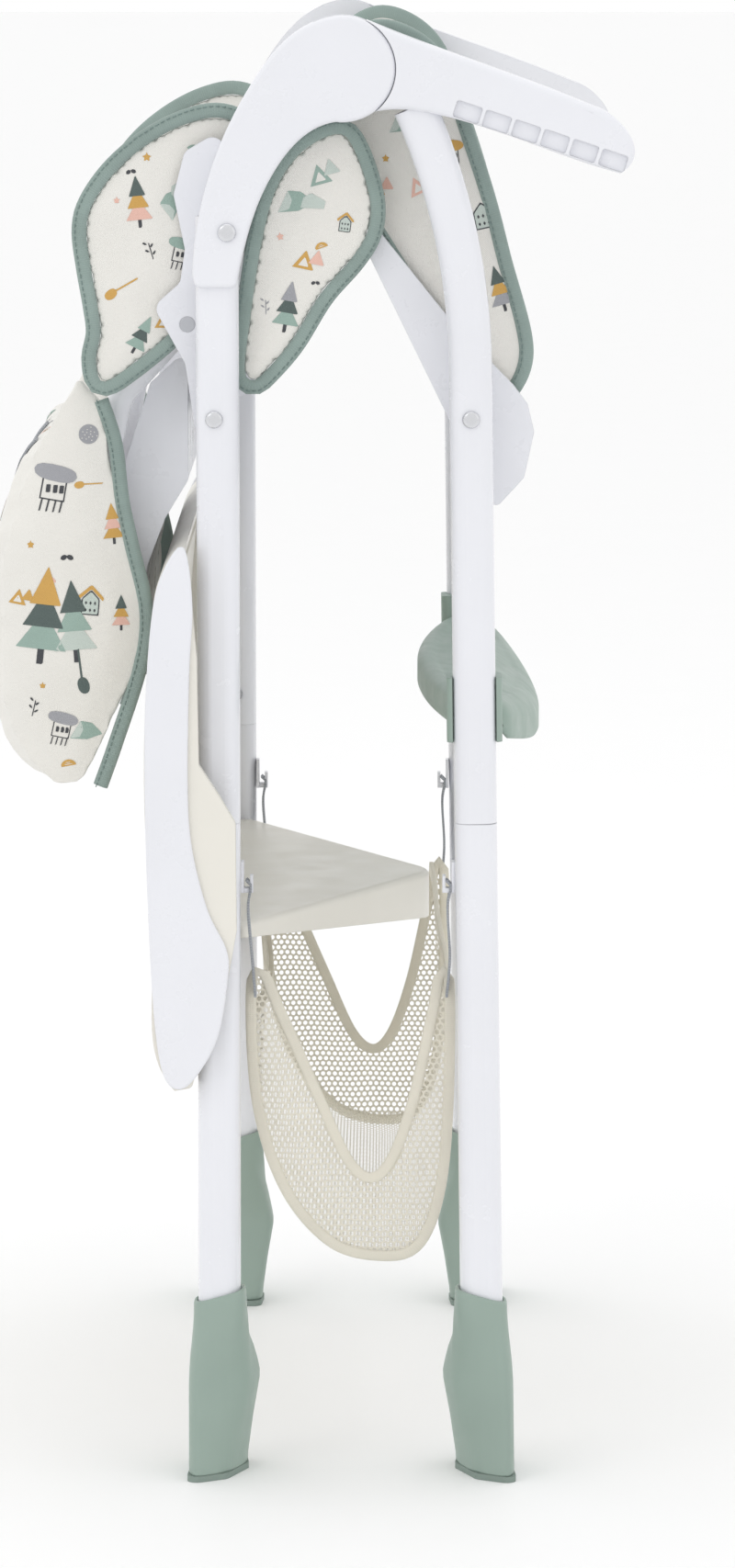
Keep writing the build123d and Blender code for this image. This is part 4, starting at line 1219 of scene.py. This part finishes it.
# ---- mouldings ---------------------------------------------------------------------------------
LEG_MID, SPLAY, JOINT_Z, FRONT_LEAN = 235.0, 20 / 290, 417.0, 0.0135
FOOT_CORNERS = [(21, -23), (-5, -9), (-18, 20), (-16, 46), (17, 44)]   # plan of a foot about its leg
FOOT_TOP, FOOT_LOW = 122.0, 4.0


def plan_radii(corners, angles):
    """Distance from the middle to a rounded outline, in each direction."""
    ring = np.array(corners, float)
    for _ in range(3):
        after = np.roll(ring, -1, axis=0)
        ring = np.stack([ring * 0.8 + after * 0.2, ring * 0.2 + after * 0.8], axis=1).reshape(-1, 2)
    ring = evenly(ring, 0.5, closed=True)
    turns = np.arctan2(ring[:, 1], ring[:, 0])
    order = np.argsort(turns)
    return np.interp(angles, turns[order], np.hypot(*ring[order].T), period=2 * math.pi)


def ease_in(value):
    value = min(max(value, 0.0), 1.0)
    return value * value * (3 - 2 * value)


def boot(name, x_floor, lean, slope):
    """Moulded boot on a leg end: a wedge at the floor that closes up to an oval collar."""
    angles = np.linspace(-math.pi, math.pi, 72, endpoint=False)
    wedge = plan_radii([(lean * x, y) for x, y in FOOT_CORNERS], angles)
    collar = plan_radii([(-16.4, -13.6), (16.4, -13.6), (16.4, 13.6), (-16.4, 13.6)], angles)
    throat = plan_radii([(-14.2, -10.6), (14.2, -10.6), (14.2, 10.6), (-14.2, 10.6)], angles)
    levels = [(FOOT_LOW, 0.93), (FOOT_LOW, 0.975), (FOOT_LOW + 1.2, 1.0)]
    levels += [(z, 1.0) for z in np.linspace(FOOT_LOW + 6, FOOT_TOP - 4, 26)]
    levels += [(FOOT_TOP - 1.6, 0.995), (FOOT_TOP - 0.4, 0.965), (FOOT_TOP, 0.93)]
    points = []
    for z, size in levels + [(FOOT_TOP - 0.4, 0), (FOOT_TOP - 9, 0)]:
        rise = ease_in((z - 56) / 62)
        push = float(np.interp(z, (8, 34, 60, 80, 108, 122), (0, 3.5, 8, 6.5, 1.5, 0)))
        radii = throat if size == 0 else (wedge * (1 - rise) + collar * rise) * size
        x_leg = x_floor - slope * z
        y_leg = -LEG_MID - (JOINT_Z - z) * SPLAY
        for angle, radius in zip(angles, radii):
            x, y = radius * math.cos(angle), radius * math.sin(angle)
            x -= lean * push * ease_in(0.5 - lean * x / 24) * ease_in((y + 14) / 20)
            slant = 9 * ease_in((z - 70) / 52) * min(max((lean * x + 16) / 32, 0), 1)
            points.append(((x_leg + x) * MM, (y_leg + y) * MM, (z - slant) * MM))
    ring = len(angles)
    rows = len(points) // ring
    mesh = mesh_from(name, points, ring_faces(rows, ring))
    face_outwards(mesh)
    return mesh


class CHAIR_OT_feet(bpy.types.Operator):
    """Moulded boots on the four leg ends"""
    bl_idname = "chair.feet"
    bl_label = "Feet"

    def execute(self, context):
        rear_x = (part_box("rear_leg_near")[0].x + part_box("rear_leg_near")[1].x) / 2 / MM
        front_x = 99.2 + ORIGIN[0] + JOINT_Z * FRONT_LEAN
        for end, x_floor, lean, slope in (("rear", rear_x, -1, 0.0), ("front", front_x, 1, FRONT_LEAN)):
            for side in ("near", "far"):
                mesh = boot(f"{end}_boot_{side}", x_floor, lean, slope)
                if side == "far":
                    for vert in mesh.vertices:
                        vert.co.y = -vert.co.y
                    mesh.flip_normals()
                piece = new_piece(f"{end}_boot_{side}", mesh, "sage_plastic")
                declare(piece, f"{end}_frame", "sage_plastic", f"{end}_foot_{side}")
        return {"FINISHED"}


TREAD_LINE = smooth_line([(52, 497), (90, 496), (118, 489), (152, 462)])
TREAD_HALF = 212.0


def tread_height(x):
    return float(np.interp(x, TREAD_LINE[:, 0], TREAD_LINE[:, 1]))


def tread_section(y):
    """Closed section of the footrest board at one place across the chair."""
    bow = 1 - (y / TREAD_HALF) ** 2
    end = max(0.0, abs(y) - (TREAD_HALF - 11)) / 11
    tuck = 11 * (1 - math.sqrt(max(0.0, 1 - end ** 2)))
    rear, front = 84 - 21 * bow + tuck, 120 + 24 * bow - tuck
    points = []
    steps = 46
    for k in range(steps + 1):
        share = 0.5 - 0.5 * math.cos(math.pi * k / steps)
        x = rear + (front - rear) * share
        edge = min(x - rear, front - x)
        drop = 6.5 - math.sqrt(max(0.0, 6.5 ** 2 - max(0.0, 6.5 - edge) ** 2))
        inner = min(x - rear - 9, front - 11 - x, 197 - abs(y))
        dish = 1.9 * ease_in(inner / 5)
        arc = abs(y + 8) - 24 - 16 * math.sin(math.pi * share)
        ridge = 1.1 * math.exp(-(arc / 2.6) ** 2) * ease_in(inner / 8)
        points.append((x, tread_height(x) - drop - dish + ridge))
    skirt = 20 - 7 * end ** 2
    points += [(front, tread_height(front) - z) for z in (9, 14, skirt - 2)]
    points += [(front - 1, tread_height(front) - skirt), (front - 3, tread_height(front) - skirt)]
    points += [(front - 3.5, tread_height(front) - 9), (rear + 3.5, tread_height(rear) - 9)]
    points += [(rear + 3, tread_height(rear) - skirt), (rear + 1, tread_height(rear) - skirt)]
    points += [(rear, tread_height(rear) - z) for z in (skirt - 2, 14, 9)]
    return points


class CHAIR_OT_footrest(bpy.types.Operator):
    """Bowed tread of the footrest, with a dished top and a skirt"""
    bl_idname = "chair.footrest"
    bl_label = "Footrest"

    def execute(self, context):
        angles = np.linspace(-math.pi / 2, math.pi / 2, 110)
        points, ring = [], 0
        for y in np.sin(angles) * TREAD_HALF:
            section = tread_section(y)
            ring = len(section)
            points += [((x + ORIGIN[0]) * MM, y * MM, z * MM) for x, z in section]
        rows = len(points) // ring
        mesh = mesh_from("footrest_tread", points, ring_faces(rows, ring))
        face_outwards(mesh)
        piece = new_piece("footrest_tread", mesh, "sage_plastic")
        declare(piece, "footrest", "sage_plastic", "footrest_board")
        return {"FINISHED"}


def plate(name, loop, inner_y, thick, finish, radius=1.3):
    """Flat moulding with rounded rims, outside an X-Z plane on the near side."""
    outline = evenly(loop * MM, 0.004, closed=True)
    count = len(outline)
    low = [(x, inner_y, z) for x, z in outline]
    high = [(x, inner_y - thick, z) for x, z in outline]
    faces = [tuple(range(count)), tuple(range(count, 2 * count))]
    faces += [(k, (k + 1) % count, count + (k + 1) % count, count + k) for k in range(count)]
    mesh = mesh_from(name, low + high, faces)
    face_outwards(mesh)
    piece = new_piece(name, mesh, finish)
    rim = piece.modifiers.new("rim", "BEVEL")
    rim.width, rim.segments, rim.limit_method, rim.angle_limit = radius * MM, 3, "ANGLE", math.radians(50)
    rim.harden_normals = True
    settle(piece)
    return piece


TRAY_BAND = smooth_line([(-84, 596), (-97, 580), (-104, 552), (-108.5, 490), (-108.5, 410), (-105, 316),
                         (-100, 268), (-92, 252), (-80, 256), (-64, 283), (-57.3, 319), (-57.5, 340),
                         (-69.9, 367), (-79.6, 408), (-81.8, 450), (-80.5, 517), (-78.5, 560)], closed=True)


class CHAIR_OT_tray_bands(bpy.types.Operator):
    """Raised band along each side of the tray"""
    bl_idname = "chair.tray_bands"
    bl_label = "Tray side bands"

    def execute(self, context):
        band = plate("tray_side_bands", TRAY_BAND + ORIGIN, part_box("tray")[0].y, 0.0034,
                     "white_plastic", 1.6)
        both_sides(band.data)
        declare(band, "tray", "cream_plastic")
        return {"FINISHED"}


# ---- basket ------------------------------------------------------------------------------------
SLING = smooth_line([(-41, 316), (-43, 240), (-26, 178), (6, 140), (40, 131), (64, 138), (79, 175),
                     (84, 240), (81.5, 316)])
SLING_HALF = 224.0


def sling_point(share, y):
    """A point of the basket's curved sheet: share along its section, y across the chair."""
    line = SLING
    at = share * (len(line) - 1)
    low = int(min(at, len(line) - 2))
    x, z = line[low] + (line[low + 1] - line[low]) * (at - low)
    end = max(0.0, (abs(y) - 185) / (SLING_HALF - 185))
    middle = 1 - (y / SLING_HALF) ** 2
    top_share = max(0.0, (z - 200) / 116)
    z -= 52 * middle * top_share ** 1.5
    x += (24 - x) * (0.07 * end ** 2 + 0.02) + 3.5 * math.sin(y / 41) * top_share
    z += 9 * end ** 2 * (1 - min(1, (z - 128) / 90)) if z < 218 else 0
    return x + ORIGIN[0], y, z


class CHAIR_OT_basket(bpy.types.Operator):
    """Net basket: a curved sling, a notched panel at each end, edge tapes and corner loops"""
    bl_idname = "chair.basket"
    bl_label = "Basket"

    def execute(self, context):
        sizes = context.scene.chair_sizes
        sling = self.sling()
        ends = self.end_panels()
        tapes = self.tapes(sizes)
        loops = self.loops(sizes)
        self.blend_all([sling, ends, tapes, loops])
        return {"FINISHED"}

    def sling(self):
        columns, rows = 96, 72
        points, charts = [], []
        section = length_of(SLING)
        for i in range(columns + 1):
            y = -SLING_HALF + 2 * SLING_HALF * i / columns
            for j in range(rows + 1):
                place = sling_point(j / rows, y)
                points.append([c * MM for c in place])
                charts.append((y * MM, j / rows * section * MM))
        faces = [(i * (rows + 1) + j, (i + 1) * (rows + 1) + j, (i + 1) * (rows + 1) + j + 1,
                  i * (rows + 1) + j + 1) for i in range(columns) for j in range(rows)]
        mesh = mesh_from("basket_sling", points, faces)
        lay_chart(mesh, charts)
        face_outwards(mesh)
        piece = new_piece("basket_sling", mesh, "basket_mesh")
        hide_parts("basket", "basket_loops")
        self.sling_flat = (2 * SLING_HALF * MM, section * MM)
        return piece

    def end_outline(self):
        left = [(-40, 316), (-38, 240), (-21, 182), (8, 146), (40, 137), (62, 144), (75, 180),
                (80, 240), (80, 316)]
        notch = [(74, 290), (62, 235), (48, 196), (33, 183), (16, 196), (-4, 240), (-26, 290)]
        return smooth_line(left + notch, closed=True)

    def end_panels(self):
        outline = evenly((self.end_outline() + ORIGIN) * MM, 0.005, closed=True)
        points, triangles = fill_outline(outline, 0.006)
        away = edge_distance(points, outline)
        bulge = np.minimum(away * 0.22, 0.004)
        ripple = np.array([0.0016 * math.sin(p[0] * 190 + p[1] * 60) for p in points])
        ripple *= np.clip(away / 0.008, 0, 1)
        places = np.column_stack([points[:, 0], -SLING_HALF * MM - bulge * 0.5 + ripple, points[:, 1]])
        mesh = mesh_from("basket_end_panels", places, triangles)
        lay_chart(mesh, [tuple(p) for p in points])
        both_sides(mesh)
        piece = new_piece("basket_end_panels", mesh, "basket_mesh")
        return piece

    def tapes(self, sizes):
        outline = self.end_outline() + ORIGIN
        near = tape_along("basket_end_tape", outline[::-1], -SLING_HALF * MM, 0.007, 0.0032, "net_tape",
                          closed=True)
        both_sides(near.data)
        rims = []
        for share in (0.0, 1.0):
            line = np.array([sling_point(share, y) for y in np.linspace(-SLING_HALF, SLING_HALF, 60)]) * MM
            rims.append(round_tape(f"rim_{share:g}", line, 0.0075, 0.003, "net_tape"))
        tape = joined("basket_edge_tape", [near] + rims)
        return tape

    def loops(self, sizes):
        bands = []
        for x_low, x_high, bow in ((-33.5, -38.0, -1), (88.0, 88.5, 1)):
            for y in (-232, 232):
                path = [(x_low, y, 305), (x_low + 2 * bow, y, 330), (x_high, y, 362), (x_high + 2, y, 376),
                        (x_high - 1, y, 380)]
                line = smooth_line(path) * MM
                bands.append(flat_band(f"loop_{x_low:g}_{y}", line, (0, 1, 0), 0.011, 0.0016, "webbing"))
        band = joined("basket_corner_loops", bands)
        return band

    def blend_all(self, pieces):
        for piece in pieces:
            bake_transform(piece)


def flat_band(name, line, across, wide, deep, finish):
    """Webbing along a line, wide along a fixed direction, with rounded edges."""
    line = evenly(line, 0.004)
    side = Vector(across).normalized()
    points, charts = [], []
    marks = np.concatenate([[0], np.cumsum(np.linalg.norm(np.diff(line, axis=0), axis=1))])
    corners = [(-0.5, -0.3), (-0.47, -0.5), (0.47, -0.5), (0.5, -0.3), (0.5, 0.3), (0.47, 0.5),
               (-0.47, 0.5), (-0.5, 0.3)]
    for number, spot in enumerate(line):
        ahead = Vector(line[min(number + 1, len(line) - 1)]) - Vector(line[max(number - 1, 0)])
        up = ahead.normalized().cross(side).normalized()
        for a, b in corners:
            points.append(Vector(spot) + side * a * wide + up * b * deep)
            charts.append((marks[number], a * wide))
    mesh = mesh_from(name, points, ring_faces(len(line), len(corners)))
    lay_chart(mesh, charts)
    face_outwards(mesh)
    piece = new_piece(name, mesh, finish)
    mesh.polygons.foreach_set("use_smooth", [False] * len(mesh.polygons))
    return piece


def round_tape(name, line, wide, deep, finish):
    """Tape folded over a free rim that runs across the chair."""
    return flat_band(name, line, (0.02, 0, 1), wide, deep, finish)


# ---- harness -----------------------------------------------------------------------------------
def webbing_band(name, line, sizes):
    return flat_band(name, line, (0, 1, 0), sizes.web_wide, sizes.web_deep, "webbing")


class CHAIR_OT_harness(bpy.types.Operator):
    """Harness webbing on the back and on both seat halves"""
    bl_idname = "chair.harness"
    bl_label = "Harness"

    def execute(self, context):
        sizes = context.scene.chair_sizes
        self.shoulders(sizes)
        self.waist(sizes)
        self.crotch(sizes)
        return {"FINISHED"}

    def shoulders(self, sizes):
        low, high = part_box("shoulder_straps")
        cover = bpy.data.objects["backrest_padded_cover"]
        tree = BVHTree.FromPolygons([tuple(v.co) for v in cover.data.vertices],
                                    [tuple(p.vertices) for p in cover.data.polygons])
        bands = []
        for side in (-1, 1):
            y = side * 0.06
            line = [press(tree, (y, z), "x", 0.0012) for z in np.linspace(low.z, high.z, 24)]
            line = np.array([p for p in line if p is not None])
            bands.append(webbing_band(f"shoulder_{side}", line, sizes))
        band = joined("shoulder_webbing", bands)
        declare(band, "backrest", "webbing", "shoulder_straps")

    def waist(self, sizes):
        bands = []
        for side in (-1, 1):
            path = [rear_point(a, 27.5 + 1.5 * math.sin(a / 17)) for a in range(14, 120, 8)]
            line = np.array([(x, side * 72.5, z) for x, z in path]) * MM
            bands.append(webbing_band(f"waist_{side}", line, sizes))
        band = joined("waist_webbing", bands)
        declare(band, "rear_pan", "webbing", "waist_straps")

    def crotch(self, sizes):
        path = [front_point(a, 27.5 + 1.5 * math.sin(a / 15)) for a in range(66, 122, 8)]
        line = np.array([(x, 0, z) for x, z in path]) * MM
        band = webbing_band("crotch_webbing", line, sizes)
        declare(band, "front_pan", "webbing", "crotch_strap")


# ---- stage -------------------------------------------------------------------------------------
FLOOR_HALF = 40.0
LAMPS = (("key", (-2.6, -3.0, 3.2), 2.0, 11), ("fill", (3.2, -2.6, 2.0), 2.6, 3),
         ("top", (0.0, 0.2, 3.6), 2.6, 9), ("rim", (-2.2, 2.0, 2.2), 1.6, 3))
CAMERA_PLACE, CAMERA_DOWN, CAMERA_TURN, CAMERA_LENS = (0.055, -4.22, 1.018), 8.23, 0.248, 146.2


class CHAIR_OT_stage(bpy.types.Operator):
    """Pale floor, soft lights and the camera"""
    bl_idname = "chair.stage"
    bl_label = "Stage"

    def execute(self, context):
        self.floor()
        self.lights()
        self.camera()
        return {"FINISHED"}

    def floor(self):
        points = [(x * FLOOR_HALF, y * FLOOR_HALF, 0.0) for x, y in ((-1, -1), (1, -1), (1, 1), (-1, 1))]
        mesh = mesh_from("studio_floor", points, [(0, 1, 2, 3)])
        FINISHES["floor"] = moulded("studio_paper", moulded_finish(), tone("fbfbfb"), 0.55, 0.7, 300.0,
                                    shade=0.99, radius=0.0)
        floor = new_piece("studio_floor", mesh, "floor")

    def lights(self):
        bpy.context.scene.view_settings.view_transform = "Standard"
        world = bpy.context.scene.world or bpy.data.worlds.new("studio")
        bpy.context.scene.world = world
        world.use_nodes = True
        ground = world.node_tree.nodes["Background"]
        ground.inputs[0].default_value = (1.0, 1.0, 1.0, 1.0)
        ground.inputs[1].default_value = 1.0
        for name, place, size, power in LAMPS:
            light = bpy.data.objects.new(name, bpy.data.lights.new(name, "AREA"))
            light.data.energy, light.data.size = power, size
            light.location = place
            light.rotation_euler = (Vector((0, 0, 0.5)) - Vector(place)).to_track_quat("-Z", "Y").to_euler()
            bpy.context.scene.collection.objects.link(light)

    def camera(self):
        camera = bpy.data.objects.new("camera", bpy.data.cameras.new("camera"))
        camera.data.lens, camera.data.sensor_width = CAMERA_LENS, 36.0
        camera.location = CAMERA_PLACE
        camera.rotation_euler = (math.radians(90 - CAMERA_DOWN), 0.0, math.radians(CAMERA_TURN))
        bpy.context.scene.collection.objects.link(camera)
        bpy.context.scene.camera = camera


# ---- add-on ------------------------------------------------------------------------------------
STEPS = (CHAIR_OT_finishes, CHAIR_OT_feet, CHAIR_OT_footrest, CHAIR_OT_tray_bands,
         CHAIR_OT_seat_sides, CHAIR_OT_seat_pads, CHAIR_OT_back_cover, CHAIR_OT_basket,
         CHAIR_OT_harness, CHAIR_OT_stage)


class CHAIR_PT_panel(bpy.types.Panel):
    """Lists the steps and the sizes and colours they use."""
    bl_label = "Folding High Chair"
    bl_idname = "CHAIR_PT_panel"
    bl_space_type = "VIEW_3D"
    bl_region_type = "UI"
    bl_category = "High Chair"

    def draw(self, context):
        for step in STEPS:
            self.layout.operator(step.bl_idname)
        for group in (context.scene.chair_sizes, context.scene.chair_colours):
            box = self.layout.box()
            for name in group.__annotations__:
                box.prop(group, name)


CLASSES = (ChairSizes, ChairColours) + STEPS + (CHAIR_PT_panel,)


def register():
    for item in CLASSES:
        bpy.utils.register_class(item)
    bpy.types.Scene.chair_sizes = PointerProperty(type=ChairSizes)
    bpy.types.Scene.chair_colours = PointerProperty(type=ChairColours)


def unregister():
    del bpy.types.Scene.chair_colours
    del bpy.types.Scene.chair_sizes
    for item in reversed(CLASSES):
        bpy.utils.unregister_class(item)


def main():
    """Build the dressed chair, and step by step."""
    register()
    for step in STEPS:
        family, action = step.bl_idname.split(".")
        getattr(getattr(bpy.ops, family), action)()


if __name__ == "__main__":
    main()
